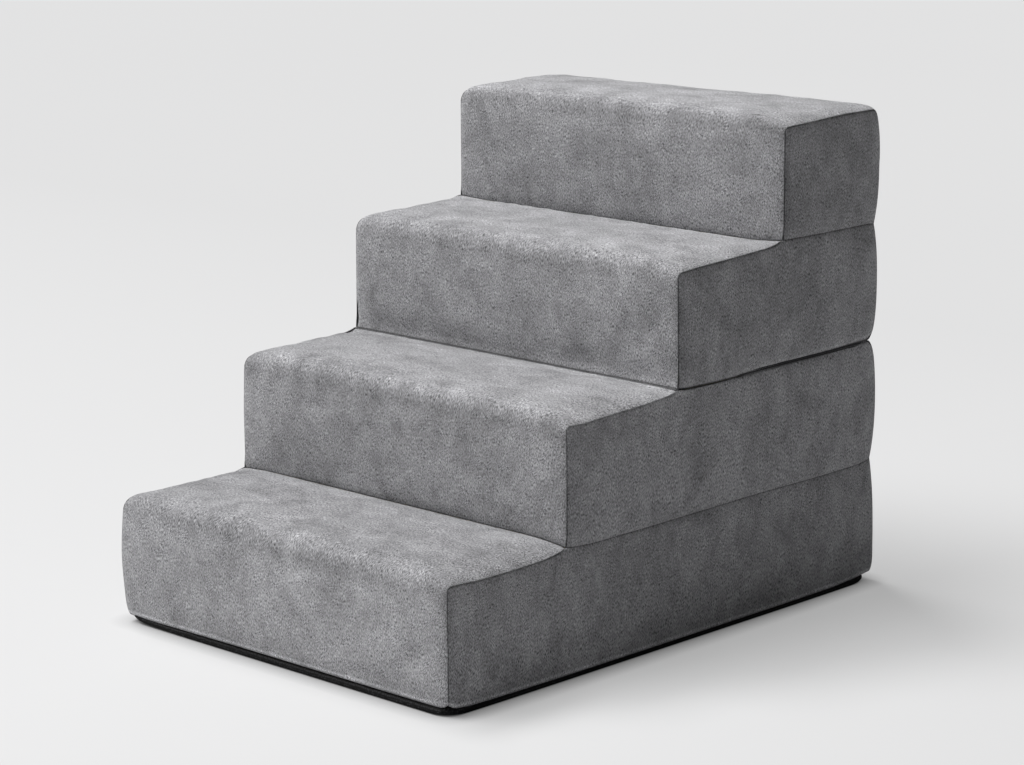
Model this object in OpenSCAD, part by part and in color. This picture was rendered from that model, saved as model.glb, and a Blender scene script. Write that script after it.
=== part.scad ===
// Pet stairs: four upholstered foam steps, made as two L-shaped halves that a
// sewn seam joins along the crease between the second tread and the third riser.
// X runs across the stairs, -Y is the climbing front, Z is up.

/* [Stairs] */
// Overall width, over the swell of the side panels
stair_w = 408; // [320:2:600]
// Height of one riser
rise = 108.5; // [90:0.5:140]
// Depth of each of the three lower treads
run = 141; // [120:1:190]
// Depth of the top step, from its riser to the rear seams
top_run = 132; // [110:1:200]

/* [Softness] */
// Radius of the soft nosing of a step
nosing_r = 13; // [8:1:24]
// Radius of the rear edge of the top step
rear_edge_r = 6; // [5:1:14]
// Swell of the plush over one riser and its tread
step_crown = 3; // [1:0.5:5]
// Swell of a side panel between its seams
side_crown = 3; // [1:0.5:6]
// Swell of a rear panel between its seams
rear_crown = 5; // [3.5:0.5:8]
// How far the plush of a step draws in at a side seam
seam_draw = 1; // [0.5:0.5:4]
// How far the open rear edges of the two halves round in
split_draw = 6; // [2:0.5:8]
// Height over which they round in
split_round_h = 16; // [8:1:24]
// How far the plush of the first step rounds in at the base panel
foot_draw = 1.5; // [1:0.5:5]
// Height over which it rounds in
foot_round_h = 14; // [8:1:24]

/* [Covers] */
// Thickness of the plush
plush_t = 1.2; // [0.8:0.1:2]
// Clearance between the foam and its cover
foam_gap = 0.3; // [0.2:0.1:0.6]
// Gap between the closed halves
split_gap = 0.6; // [0.5:0.1:2]

/* [Base] */
// Height to which the base panel turns up
base_edge_h = 10.5; // [5:0.5:12]
// Thickness of the base panel
base_t = 1.2; // [0.8:0.1:2.5]
// Radius of the turned-up edge, where it leaves the floor
base_edge_r = 3; // [2.8:0.2:5]
// Corner radius of the base panel, seen from above
base_corner_r = 8; // [7:1:16]

/* [Zips] */
// Width of the closed rows of teeth
chain_w = 6; // [5:0.5:8]
// Thickness of the rows of teeth
chain_t = 2.5; // [2:0.1:3]
// Distance from one tooth to the next in a row
tooth_pitch = 2.5; // [2:0.1:4]
// Width of the tape beside each row of teeth
tape_w = 10; // [6:0.5:12]
// Thickness of the tape
tape_t = 0.7; // [0.4:0.1:1]
// Length of the slider
slider_l = 12; // [9:0.5:16]
// Thickness of the two plates of the slider
plate_t = 1; // [0.8:0.1:1.4]
// Length of the pull's tab
pull_l = 20; // [12:1:24]
// Width of the pull's tab
pull_w = 6; // [5:0.5:7]

/* [Hidden] */

$fn = 48;
overrun = 1;

// Steps are counted from 0 here: 0 and 1 are the lower half, 2 and 3 the upper
step_n = 4;
lower_n = 2;
top_step = step_n - 1;

// Seam lines: the plush swells out from these
seam_x = stair_w / 2 - side_crown;
depth = (step_n - 1) * run + top_run + step_crown + rear_crown;
front_y = -depth / 2 + step_crown;
rear_y = depth / 2 - rear_crown;
function face_y(k) = front_y + k * run;
function low_z(k) = base_edge_h + k * rise;

// Insets of the layers under the plush
cover_inset = plush_t + foam_gap;
side_inset = plush_t + seam_draw;
lining_room = split_gap / 2 + plush_t;
split_z = low_z(lower_n);
fold_seam_r = lining_room - foam_gap;
fold_clear = fold_seam_r + foam_gap;

// Where the panels of a layer start and end in height
function panel_low(k) = low_z(k) + (k == lower_n ? lining_room : 0);
function panel_high(k) = k == top_step ? low_z(k + 1) - rear_edge_r
    : low_z(k + 1) - (k + 1 == lower_n ? lining_room : 0);
function foam_low(k) = k == 0 ? base_edge_h
    : k == lower_n ? split_z + lining_room + foam_gap
    : low_z(k) - cover_inset;
function foam_high(k) = k == top_step ? panel_high(k)
    : k + 1 == lower_n ? split_z - lining_room - foam_gap
    : low_z(k + 1) - cover_inset;

// Shares that place the rings and sections of the soft forms
zip_share = 0.86;
half_shares = [0.5, zip_share, 0.97, 1];
section_shares = concat([for (i = [len(half_shares) - 1 : -1 : 0]) -half_shares[i]], [0], half_shares);
rear_shares = [0, 0.03, 0.12, 0.5, 0.88, 0.97, 1];
panel_ring_shares = [0.45, 0.8, 0.94, 1];
foam_ring_shares = [0.5, 0.88];
corner_crown_share = 0.75;
swell_power = 2.5;
across_power = 4;
dome_power = 4;
draw_power = 12;
relief_power = 8;
round_power = 3;

// Points up the riser, and segments along the rest of the outline of a step
riser_shares = [0, 0.04, 0.12, 0.35, 0.7];
riser_n = len(riser_shares);
nosing_n = 5;
tread_n = 4;
edge_n = 3;

// 0 at both seams, and 1 halfway between them
function swell(t) = 1 - pow(abs(2 * t - 1), swell_power);
// How far the plush draws in at a share of the half width
function draw_in(share) = seam_draw * pow(abs(share), draw_power);

// Outline of a riser, nosing and tread in Y and Z, q inside the seam lines
function step_path(k, q, z_low) = let(
        y0 = face_y(k) + q,
        z1 = low_z(k + 1) - q,
        r = nosing_r - q,
        edge = k == top_step ? rear_edge_r - q : 0,
        y1 = k == top_step ? rear_y - q - edge : face_y(k + 1))
    concat(
        [for (t = riser_shares) let(z = mix(z_low, z1 - r, t)) [y0 + foot_round(z), z]],
        [for (i = [0 : nosing_n]) let(a = 90 * i / nosing_n) [y0 + r - r * cos(a), z1 - r + r * sin(a)]],
        [for (i = [1 : tread_n]) [y0 + r + (y1 - y0 - r) * i / tread_n, z1]],
        k == top_step
            ? [for (i = [1 : edge_n]) let(a = 90 * i / edge_n)
                [y1 + edge * sin(a), z1 - edge + edge * cos(a)]]
            : []);
function path_n(k) = riser_n + nosing_n + 1 + tread_n + (k == top_step ? edge_n : 0);
// Share of the way along the outline at one of its points
function path_share(k, i) = (i < riser_n ? riser_n * riser_shares[i] : i) / (path_n(k) - 1);

// The same outline at a share of the half width, swollen between its seams
function soft_path(k, q, share, z_low) = [
    for (i = [0 : path_n(k) - 1])
        let(out = step_crown * swell(path_share(k, i)) * (1 - pow(abs(share), across_power))
            - draw_in(share))
        step_path(k, q - out, z_low)[i]];

// How far the rear rounds in towards the split at height z
function split_round(z) = split_draw * pow(max(0, 1 - abs(z - split_z) / split_round_h), round_power);

// How far the first step rounds in towards the base panel at height z
function foot_round(z) = foot_draw * pow(max(0, 1 - max(0, z - base_edge_h) / foot_round_h), round_power);

// Y of the rear of a layer at height z, at a share of the half width
function rear_at(k, z, share) = rear_y - draw_in(share) - split_round(z) - foot_round(z)
    + rear_crown * swell((z - panel_low(k)) / (panel_high(k) - panel_low(k)))
    * (1 - (1 - corner_crown_share) * share * share);

function mix(a, b, t) = a + (b - a) * t;

// A closed body through rings of points, with a middle point at each end
module ring_body(first, rings, last) {
    n = len(rings[0]);
    m = len(rings);
    points = concat([first], [for (ring = rings) for (p = ring) p], [last]);
    end = m * n + 1;
    faces = concat(
        [for (i = [0 : n - 1]) [0, 1 + (i + 1) % n, 1 + i]],
        [for (j = [0 : m - 2]) for (i = [0 : n - 1]) for (half = [0, 1])
            let(a = 1 + j * n + i, b = 1 + j * n + (i + 1) % n)
            half == 0 ? [a, b, b + n] : [a, b + n, a + n]],
        [for (i = [0 : n - 1]) [end, end - n + i, end - n + (i + 1) % n]]);
    polyhedron(points, faces, convexity = 6);
}

// A closed sheet between an outer and an inner grid of points
module sheet_body(outer, inner) {
    rows = len(outer);
    cols = len(outer[0]);
    size = rows * cols;
    points = concat([for (row = outer) for (p = row) p], [for (row = inner) for (p = row) p]);
    cells = [for (j = [0 : rows - 2]) for (i = [0 : cols - 2]) j * cols + i];
    border = concat(
        [for (i = [0 : cols - 2]) [i, i + 1]],
        [for (j = [0 : rows - 2]) [j * cols + cols - 1, (j + 1) * cols + cols - 1]],
        [for (i = [cols - 1 : -1 : 1]) [size - cols + i, size - cols + i - 1]],
        [for (j = [rows - 1 : -1 : 1]) [j * cols, (j - 1) * cols]]);
    faces = concat(
        [for (c = cells) for (f = [[c, c + 1, c + cols + 1], [c, c + cols + 1, c + cols]]) f],
        [for (c = cells) for (f = [[c, c + cols + 1, c + 1], [c, c + cols, c + cols + 1]])
            [for (v = f) v + size]],
        [for (e = border) for (f = [[e[0], e[0] + size, e[1]], [e[1], e[0] + size, e[1] + size]]) f]);
    polyhedron(points, faces, convexity = 6);
}

// Plush over one riser and tread, cut back at the fold seam
function cover_path(k, q, share) = let(path = soft_path(k, q, share, panel_low(k)))
    k + 1 == lower_n
        ? [for (i = [0 : len(path) - 1])
            i < len(path) - 1 ? path[i] : [path[i][0] - fold_clear, path[i][1]]]
        : path;

function cover_grid(k, q) = [
    for (s = section_shares)
        [for (p = cover_path(k, q, s)) [s * (seam_x - foot_round(p[1])), p[0], p[1]]]];

module step_cover(k) {
    outer = cover_grid(k, 0);
    inner = cover_grid(k, plush_t);
    color([0.52, 0.53, 0.55]) sheet_body(outer, inner);
}

// Outline of a side panel in Y and Z, inside the plush of the step and the rear
function side_outline(k) = concat(
    step_path(k, side_inset, panel_low(k)),
    k == top_step ? [] : [[face_y(k + 1) + side_inset, panel_high(k)]],
    [for (i = [len(rear_shares) - 1 : -1 : 0])
        let(z = mix(panel_low(k), panel_high(k), rear_shares[i]))
        if (k != top_step || i < len(rear_shares) - 1) [rear_at(k, z, 1) - plush_t, z]]);

function side_middle(k) = [(face_y(k) + rear_y) / 2, (panel_low(k) + low_z(k + 1)) / 2];

// One ring of a domed panel, at a share of the way from its middle to its outline
function dome_ring(outline, middle, x, share) = [
    for (p = outline)
        let(z = mix(middle[1], p[1], share))
        [x + side_crown * (1 - pow(share, dome_power)) - foot_round(z), mix(middle[0], p[0], share), z]];

module side_panel(k, side) {
    outline = side_outline(k);
    middle = side_middle(k);
    n = len(panel_ring_shares);
    rings = concat(
        [for (s = panel_ring_shares) dome_ring(outline, middle, seam_x, s)],
        [for (i = [n - 1 : -1 : 0]) dome_ring(outline, middle, seam_x - plush_t, panel_ring_shares[i])]);
    first = [seam_x + side_crown, middle[0], middle[1]];
    last = [seam_x - plush_t + side_crown, middle[0], middle[1]];
    color([0.46, 0.47, 0.49]) mirror([side < 0 ? 1 : 0, 0, 0]) ring_body(first, rings, last);
}

// A rear panel stops short of the zip between the layers of its half
function zip_below(k) = k == 1 || k == top_step;
function rear_grid(k, inset) = [
    for (s = section_shares)
        let(cut = abs(s) > zip_share ? 0 : zip_slot_w / 2,
            low = panel_low(k) + (zip_below(k) ? cut : 0),
            high = panel_high(k) - (zip_below(k) ? 0 : cut))
        [for (t = rear_shares) let(z = mix(low, high, t))
            [s * (seam_x - foot_round(z)), rear_at(k, z, s) - inset, z]]];

module rear_panel(k) {
    color([0.46, 0.47, 0.49]) sheet_body(rear_grid(k, plush_t), rear_grid(k, 0));
}

// The foam draws back behind the zip and turns in at the base panel
foot_turn = 2 * base_edge_r;
function zip_relief(k, z) = let(away = abs(z - low_z(zip_below(k) ? k : k + 1)))
    foam_relief * pow(max(0, 1 - away / relief_reach), relief_power);

// Outline of a foam block: Y, Z and how far its end face draws back there
function foam_outline(k, share) = concat(
    k == 0 ? [[face_y(k) + cover_inset + foot_draw + foot_turn, base_t, foot_draw + foot_turn]] : [],
    [for (p = soft_path(k, cover_inset, share, foam_low(k))) [p[0], p[1], foot_round(p[1])]],
    [for (i = [len(rear_shares) - 1 : -1 : 0])
        let(z = mix(foam_low(k), foam_high(k), rear_shares[i]))
        if (k != top_step || i < len(rear_shares) - 1)
            [rear_at(k, max(z, panel_low(k)), share) - cover_inset - zip_relief(k, z), z, foot_round(z)]],
    k == 0 ? [[rear_y - cover_inset - foot_draw - foot_turn, base_t, foot_draw + foot_turn]] : []);

module foam_block(k) {
    middle = [side_middle(k)[0], (foam_low(k) + foam_high(k)) / 2];
    end_x = seam_x - cover_inset;
    outline = foam_outline(k, 1);
    end_rings = [for (s = foam_ring_shares) [
        for (p = outline)
            [end_x + side_crown * (1 - pow(s, dome_power)) - p[2] * s,
                mix(middle[0], p[0], s), mix(middle[1], p[1], s)]]];
    n = len(end_rings);
    rings = concat(
        [for (ring = end_rings) [for (p = ring) [-p[0], p[1], p[2]]]],
        [for (s = section_shares) [for (p = foam_outline(k, s)) [s * (end_x - p[2]), p[0], p[1]]]],
        [for (i = [n - 1 : -1 : 0]) end_rings[i]]);
    tip = end_x + side_crown;
    color([0.93, 0.9, 0.78]) ring_body([-tip, middle[0], middle[1]], rings, [tip, middle[0], middle[1]]);
}

// A flat plate with round corners, from one Y to another
module rounded_plate(half_x, y_from, y_to, r, h) {
    linear_extrude(h) {
        translate([-half_x + r, y_from]) square([2 * (half_x - r), y_to - y_from]);
        translate([-half_x, y_from + r]) square([2 * half_x, y_to - y_from - 2 * r]);
        for (x = [-half_x + r, half_x - r], y = [y_from + r, y_to - r]) translate([x, y]) circle(r);
    }
}

// Base panel: a flat floor, and an edge that turns up round the lower seam
edge_arc_n = 6;
module edge_section() {
    polygon(concat(
        [for (i = [0 : edge_arc_n]) let(a = 90 * i / edge_arc_n)
            [-base_edge_r + base_edge_r * sin(a), base_edge_r - base_edge_r * cos(a)]],
        [[0, base_edge_h], [-base_t, base_edge_h]],
        [for (i = [edge_arc_n : -1 : 0]) let(a = 90 * i / edge_arc_n, r = base_edge_r - base_t)
            [-base_edge_r + r * sin(a), base_edge_r - r * cos(a)]]));
}

// One straight side of the turned-up edge, its outer face on the Y axis
module edge_bar(length) {
    rotate([90, 0, 0]) linear_extrude(length, center = true) edge_section();
}

module base_panel() {
    mid_y = (front_y + rear_y) / 2;
    half_x = seam_x - foot_draw;
    half_y = (rear_y - front_y) / 2 - foot_draw;
    straight_x = half_x - base_corner_r;
    straight_y = half_y - base_corner_r;
    color([0.09, 0.09, 0.1]) translate([0, mid_y, 0]) {
        rounded_plate(half_x - base_edge_r, -half_y + base_edge_r, half_y - base_edge_r,
            base_corner_r - base_edge_r, base_t);
        for (side = [0, 180]) rotate(side) translate([half_x, 0, 0]) edge_bar(2 * straight_y);
        for (side = [90, 270]) rotate(side) translate([half_y, 0, 0]) edge_bar(2 * straight_x);
        for (corner = [[1, 1, 0], [-1, 1, 90], [-1, -1, 180], [1, -1, 270]])
            translate([corner[0] * straight_x, corner[1] * straight_y, 0]) rotate(corner[2])
                rotate_extrude(angle = 90) translate([base_corner_r, 0]) edge_section();
    }
}

// The two linings that face each other across the split
lining_x = seam_x - seam_draw;
lining_corner_r = base_corner_r;
module lining() {
    rounded_plate(lining_x, face_y(lower_n) + fold_clear, rear_y - seam_draw - split_round(split_z),
        lining_corner_r, plush_t);
}
module lid_lining() {
    color([0.3, 0.3, 0.32]) translate([0, 0, split_z - lining_room]) lining();
}
module underside_lining() {
    color([0.3, 0.3, 0.32]) translate([0, 0, split_z + split_gap / 2]) lining();
}

// Sewn seam along the crease, on the axis that the upper half turns about
module fold_seam() {
    color([0.4, 0.41, 0.43]) translate([-lining_x, face_y(lower_n), split_z])
        rotate([0, 90, 0]) cylinder(h = 2 * lining_x, r = fold_seam_r);
}

// Zips: places
run_gap = 0.3;
zip_half = zip_share * seam_x;
zip_y = rear_y - cover_inset - tape_t / 2;
foam_relief = 2 * (chain_t + run_gap + plate_t) + chain_w / 2;
relief_reach = relief_power * (chain_w / 2 + tape_w);

// Zips: teeth, in two rows with a slot between them for the slider's post
post_w = 0.8;
slot_half = post_w / 2 + run_gap / 2;
tooth_reach = (chain_w / 2 - slot_half) / 2;
tooth_share = 0.56;
tooth_l = tooth_pitch * tooth_share;
row_shift_shares = [0.1, 0.4];
tooth_n = floor(2 * zip_half / tooth_pitch);

// Zips: slider
flange_w = 0.9;
slider_w = chain_w + 2 * (run_gap + flange_w);
zip_slot_w = slider_w + 2 * run_gap;
post_l = slider_l / 4;
plate_y = chain_t / 2 + run_gap;
slider_nose_r = slider_w / 4;
slider_rest_x = zip_half - slider_l / 2 - run_gap;

// Zips: pull and the bridge that holds it
bar_r = 0.6;
bridge_w = 2.4;
bridge_t = 0.9;
bridge_share = 0.6;
bridge_l = slider_l * bridge_share;
bridge_h = 2 * bar_r + 2 * run_gap;
pivot_y = plate_y + plate_t + run_gap + bar_r;
arm_w = (pull_w - bridge_w - 2 * run_gap) / 2;
arm_l = bridge_l / 2 + 2 * run_gap;
pull_hole_r = pull_w / 5;
stop_l = tooth_pitch;

module at_zip(half) {
    translate([0, zip_y, low_z(2 * half + 1)]) children();
}

module zip_tapes(half) {
    tape_half = zip_half + stop_l + run_gap;
    color([0.2, 0.2, 0.21]) at_zip(half)
        for (side = [-1, 1])
            translate([0, 0, side * (chain_w + tape_w) / 2])
                cube([2 * tape_half, tape_t, tape_w], center = true);
}

// One row: a bead along the tape, with a tooth at every pitch
module tooth_row(shift) {
    bead_z = slot_half + tooth_reach;
    polygon(concat(
        [[-zip_half, chain_w / 2], [-zip_half, bead_z]],
        [for (i = [0 : tooth_n - 1]) for (corner = [[0, 0], [0, 1], [1, 1], [1, 0]])
            let(x0 = -zip_half + (i + shift) * tooth_pitch)
            [x0 + corner[0] * tooth_l, bead_z - corner[1] * tooth_reach]],
        [[zip_half, bead_z], [zip_half, chain_w / 2]]));
}
module zip_teeth(half) {
    color([0.16, 0.16, 0.17]) at_zip(half)
        for (row = [0, 1])
            translate([0, chain_t / 2, 0]) rotate([90, 0, 0]) linear_extrude(chain_t)
                mirror([0, row, 0]) tooth_row(row_shift_shares[row]);
}

module zip_stops(half) {
    stop_t = chain_t + run_gap;
    color([0.5, 0.5, 0.52]) at_zip(half)
        for (end = [-1, 1], side = [-1, 1])
            translate([end * (zip_half + stop_l / 2), 0, side * (slot_half + chain_w / 2) / 2])
                cube([stop_l, stop_t, chain_w / 2 - slot_half], center = true);
}

// Plan of a slider plate in X and Z: narrow at the closed end, wide at the open end
module plate_plan() {
    back = slider_w / 2 - slider_nose_r / 2;
    polygon([
        [-slider_l / 2, -back], [-slider_l / 2, back],
        [-slider_l / 4, slider_w / 2], [slider_l / 4, slider_w / 2],
        [slider_l / 2 - slider_nose_r / 2, slider_w / 2], [slider_l / 2, back],
        [slider_l / 2, -back], [slider_l / 2 - slider_nose_r / 2, -slider_w / 2],
        [slider_l / 4, -slider_w / 2], [-slider_l / 4, -slider_w / 2]]);
}

// Side view of the bridge: an arch over the pull's bar
bridge_arc_n = 10;
bridge_power = 0.5;
module bridge_side() {
    outer_h = bridge_h + bridge_t;
    polygon(concat(
        [for (i = [0 : bridge_arc_n]) let(a = 180 * i / bridge_arc_n)
            [bridge_l / 2 * cos(a), outer_h * pow(sin(a), bridge_power)]],
        [for (i = [bridge_arc_n : -1 : 0]) let(a = 180 * i / bridge_arc_n)
            [(bridge_l / 2 - bridge_t) * cos(a), bridge_h * pow(sin(a), bridge_power)]]));
}

module zip_slider(half) {
    flange_y = tape_t / 2 + run_gap;
    color([0.58, 0.58, 0.6]) at_zip(half) translate([slider_rest_x, 0, 0]) {
        for (y = [plate_y, -plate_y - plate_t])
            translate([0, y + plate_t, 0]) rotate([90, 0, 0]) linear_extrude(plate_t) plate_plan();
        for (z = [-1, 1], y = [-1, 1])
            translate([0, y * (flange_y + plate_y) / 2, z * (slider_w - flange_w) / 2])
                cube([slider_l / 2, plate_y - flange_y, flange_w], center = true);
        cube([post_l, 2 * plate_y, post_w], center = true);
        translate([0, plate_y + plate_t, -bridge_w / 2]) linear_extrude(bridge_w) bridge_side();
    }
}

module zip_pull(half) {
    bar_l = bridge_w + 2 * run_gap + 2 * arm_w;
    color([0.62, 0.62, 0.64]) at_zip(half) translate([slider_rest_x, pivot_y, 0]) {
        cylinder(h = bar_l, r = bar_r, center = true);
        for (side = [-1, 1])
            translate([-arm_l / 2, 0, side * (bar_l - arm_w) / 2])
                cube([arm_l, 2 * bar_r, arm_w], center = true);
        difference() {
            union() {
                translate([-arm_l - pull_l / 2 + pull_w / 4, 0, 0])
                    cube([pull_l - pull_w / 2, 2 * bar_r, pull_w], center = true);
                translate([-arm_l - pull_l + pull_w / 2, 0, 0]) rotate([90, 0, 0])
                    cylinder(h = 2 * bar_r, r = pull_w / 2, center = true);
            }
            translate([-arm_l - pull_l + pull_w / 2, 0, 0]) rotate([90, 0, 0])
                cylinder(h = 2 * bar_r + 2 * overrun, r = pull_hole_r, center = true);
        }
    }
}

base_panel();
foam_block(0);  // foam_step_1
foam_block(1);  // foam_step_2
foam_block(2);  // foam_step_3
foam_block(3);  // foam_step_4
step_cover(0);  // step_cover_1
step_cover(1);  // step_cover_2
step_cover(2);  // step_cover_3
step_cover(3);  // step_cover_4
side_panel(0, 1);  // right_side_1
side_panel(1, 1);  // right_side_2
side_panel(2, 1);  // right_side_3
side_panel(3, 1);  // right_side_4
side_panel(0, -1);  // left_side_1
side_panel(1, -1);  // left_side_2
side_panel(2, -1);  // left_side_3
side_panel(3, -1);  // left_side_4
rear_panel(0);  // rear_panel_1
rear_panel(1);  // rear_panel_2
rear_panel(2);  // rear_panel_3
rear_panel(3);  // rear_panel_4
lid_lining();
underside_lining();
fold_seam();
zip_tapes(0);  // lower_zip_tapes
zip_teeth(0);  // lower_zip_teeth
zip_stops(0);  // lower_zip_stops
zip_slider(0);  // lower_zip_slider
zip_pull(0);  // lower_zip_pull
zip_tapes(1);  // upper_zip_tapes
zip_teeth(1);  // upper_zip_teeth
zip_stops(1);  // upper_zip_stops
zip_slider(1);  // upper_zip_slider
zip_pull(1);  // upper_zip_pull
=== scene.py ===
# Foam pet stairs with a plush cover: two halves joined by a fold, each with its own zip.
import math

import bpy
import numpy as np
from mathutils import Matrix, Vector


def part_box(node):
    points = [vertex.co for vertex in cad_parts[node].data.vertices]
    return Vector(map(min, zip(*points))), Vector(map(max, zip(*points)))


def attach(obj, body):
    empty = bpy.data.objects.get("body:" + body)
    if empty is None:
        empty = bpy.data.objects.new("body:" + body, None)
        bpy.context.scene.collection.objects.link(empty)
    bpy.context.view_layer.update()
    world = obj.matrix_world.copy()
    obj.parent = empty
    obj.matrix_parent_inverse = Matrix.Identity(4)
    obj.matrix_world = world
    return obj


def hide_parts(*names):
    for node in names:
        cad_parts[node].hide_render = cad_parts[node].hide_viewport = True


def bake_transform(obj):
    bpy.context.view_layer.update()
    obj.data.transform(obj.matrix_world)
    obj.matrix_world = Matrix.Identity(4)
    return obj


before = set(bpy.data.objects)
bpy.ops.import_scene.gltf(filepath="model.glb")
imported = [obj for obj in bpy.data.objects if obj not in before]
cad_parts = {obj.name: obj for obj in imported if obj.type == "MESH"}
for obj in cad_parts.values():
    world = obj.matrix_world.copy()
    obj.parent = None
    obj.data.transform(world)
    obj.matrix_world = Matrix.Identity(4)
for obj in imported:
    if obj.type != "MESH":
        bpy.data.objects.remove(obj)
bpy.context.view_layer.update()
print("stage: frame loaded")

mm = 0.001

# the driving sizes of the stairs, as the frame was built, and how their panels swell and draw in
stairs = {
    "steps": 4,
    "lowerSteps": 2,
    "width": 408 * mm,
    "rise": 108.5 * mm,
    "run": 141 * mm,
    "topRun": 132 * mm,
    "baseEdge": 10.5 * mm,
    "nosing": 13 * mm,
    "seamNosing": {"left": 1.15, "right": 0.45},  # as shares of the nosing, at the side seams
    "nosingPower": 10,
    "rearEdge": 6 * mm,
    "stepCrown": 3 * mm,
    "sideCrown": 3 * mm,
    "rearCrown": 5 * mm,
    "rearSpread": 0.3,
    "crownStart": {"rear": 0.3, "side": 0.25},  # where the crown of the lowest layer starts
    "seamDraw": 1 * mm,
    "seamPower": 12,
    "splitGap": 0.6 * mm,
    "splitDraw": 6 * mm,
    "splitRound": 16 * mm,
    "creaseFade": 14 * mm,
    "footDraw": 1.5 * mm,
    "footCorner": 0.8,
    "footPower": 8,
    "footRound": 14 * mm,
    "acrossPower": 4,
}

topStep = stairs["steps"] - 1
split = stairs["lowerSteps"]  # the first layer above the split
seamX = stairs["width"] / 2 - stairs["sideCrown"]
depth = topStep * stairs["run"] + stairs["topRun"] + stairs["stepCrown"] + stairs["rearCrown"]
frontY = -depth / 2 + stairs["stepCrown"]
rearY = depth / 2 - stairs["rearCrown"]


def faceY(k):
    return frontY + k * stairs["run"]


def lowZ(k):
    return stairs["baseEdge"] + k * stairs["rise"]


splitZ = lowZ(split)
creaseY = faceY(split)


def panelLow(k):
    return lowZ(k) + (stairs["splitGap"] / 2 if k == split else 0)


def panelHigh(k):
    if k == topStep:
        return lowZ(k + 1) - stairs["rearEdge"]
    return lowZ(k + 1) - (stairs["splitGap"] / 2 if k + 1 == split else 0)


def halfOf(k):
    return "lower_half" if k < split else "upper_half"


# small helpers for arrays of points

def easeOut(t):
    # 1 at 0, falling smoothly to 0 at 1 and beyond
    t = np.clip(t, 0, 1)
    return (1 - t) ** 2 * (1 + 2 * t)


def swell(t, power=2.5):
    # 0 at both ends, 1 in the middle
    return 1 - np.abs(2 * np.clip(t, 0, 1) - 1) ** power


def hump(place, centre, width):
    # 1 at the centre, falling softly to both sides
    return np.exp(-(((place - centre) / width) ** 2))


def unit(x=0.0, y=0.0, z=0.0):
    return np.array([x, y, z])


def pointsOf(x, y, z):
    return np.stack(np.broadcast_arrays(x, y, z), -1).astype(float)


def spacedShares(length, step, fine):
    # shares of a length: a few fine ones near both ends, even ones between
    near = [f / length for f in fine]
    count = max(2, int(round((length - 2 * fine[-1]) / step)))
    middle = np.linspace(near[-1], 1 - near[-1], count + 1)
    return np.concatenate([near[:-1], middle, [1 - f for f in near[:-1]][::-1]])


def softWaves(points, wavelength, seed, count=18):
    # smooth noise of about one unit, as a sum of seeded plane waves
    rng = np.random.default_rng(seed)
    total = np.zeros(points.shape[:-1])
    for _ in range(count):
        direction = rng.normal(size=points.shape[-1])
        direction /= np.linalg.norm(direction)
        size = wavelength * rng.uniform(0.7, 1.6)
        total += np.sin(points @ direction * (2 * math.pi / size) + rng.uniform(0, 2 * math.pi))
    return total / math.sqrt(count / 2)


def cubicWeights(shares, count):
    # weights that read an even row of values smoothly at the given shares
    place = np.clip(shares, 0, 1) * (count - 1)
    first = np.clip(np.floor(place).astype(int), 0, count - 2)
    f = place - first
    curves = [
        ((2 - f) * f - 1) * f / 2,
        ((3 * f - 5) * f * f + 2) / 2,
        ((4 - 3 * f) * f + 1) * f / 2,
        (f - 1) * f * f / 2,
    ]
    weights = np.zeros((len(shares), count))
    rows = np.arange(len(shares))
    for offset, curve in zip((-1, 0, 1, 2), curves):
        np.add.at(weights, (rows, np.clip(first + offset, 0, count - 1)), curve)
    return weights


def gridNormals(grid):
    normals = np.cross(np.gradient(grid, axis=0), np.gradient(grid, axis=1))
    return normals / np.maximum(np.linalg.norm(normals, axis=-1, keepdims=True), 1e-12)


# the forms of the panels, as smooth surfaces

def nosingAt(u):
    # the nosing is tight at the right side seam and softer at the left one
    share = np.where(np.asarray(u) > 0, stairs["seamNosing"]["right"], stairs["seamNosing"]["left"])
    return stairs["nosing"] * (1 - (1 - share) * np.abs(u) ** stairs["nosingPower"])


def treadEnd(k):
    # where the tread stops, and the radius of the edge behind it
    return (rearY - stairs["rearEdge"], stairs["rearEdge"]) if k == topStep else (faceY(k + 1), 0)


def stepPath(k, distance, bottom, r):
    # places and normals in Y and Z along riser, nosing and tread
    y0, z1 = faceY(k), lowZ(k + 1)
    y1, edge = treadEnd(k)
    riser, arc, tread = z1 - r - bottom, math.pi / 2 * r, y1 - y0 - r
    a = np.clip((distance - riser) / r, 0, math.pi / 2)
    b = np.clip((distance - riser - arc - tread) / edge, 0, math.pi / 2) if edge else 0 * distance
    up = np.minimum(np.clip(distance, 0, None), riser)
    back = np.minimum(np.clip(distance - riser - arc, 0, None), tread)
    y = y0 + r * (1 - np.cos(a)) + back + edge * np.sin(b)
    z = bottom + up + r * np.sin(a) - edge * (1 - np.cos(b))
    return y, z, -np.cos(a) + np.sin(b), np.sin(a) * np.cos(b)


def pathLength(k, r=stairs["nosing"]):
    y1, edge = treadEnd(k)
    return (lowZ(k + 1) - r - panelLow(k)) + math.pi / 2 * (r + edge) + (y1 - faceY(k) - r)


def drawIn(u):
    return stairs["seamDraw"] * np.abs(u) ** stairs["seamPower"]


def roundIn(draw, reach, away):
    # how far an edge rounds in, at a distance from it
    t = np.clip(1 - away / reach, 0, 1)
    return draw * (1 - np.sqrt(np.clip(1 - t**2, 0, 1)))


def splitRounding(z):
    return roundIn(stairs["splitDraw"], stairs["splitRound"], np.abs(z - splitZ))


def footRounding(z, u=1.0):
    # the plush turns in at the base panel, most at the corners
    draw = stairs["footDraw"] * (1 + stairs["footCorner"] * np.abs(u) ** stairs["footPower"])
    return roundIn(draw, stairs["footRound"], np.clip(z - stairs["baseEdge"], 0, None))


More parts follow.
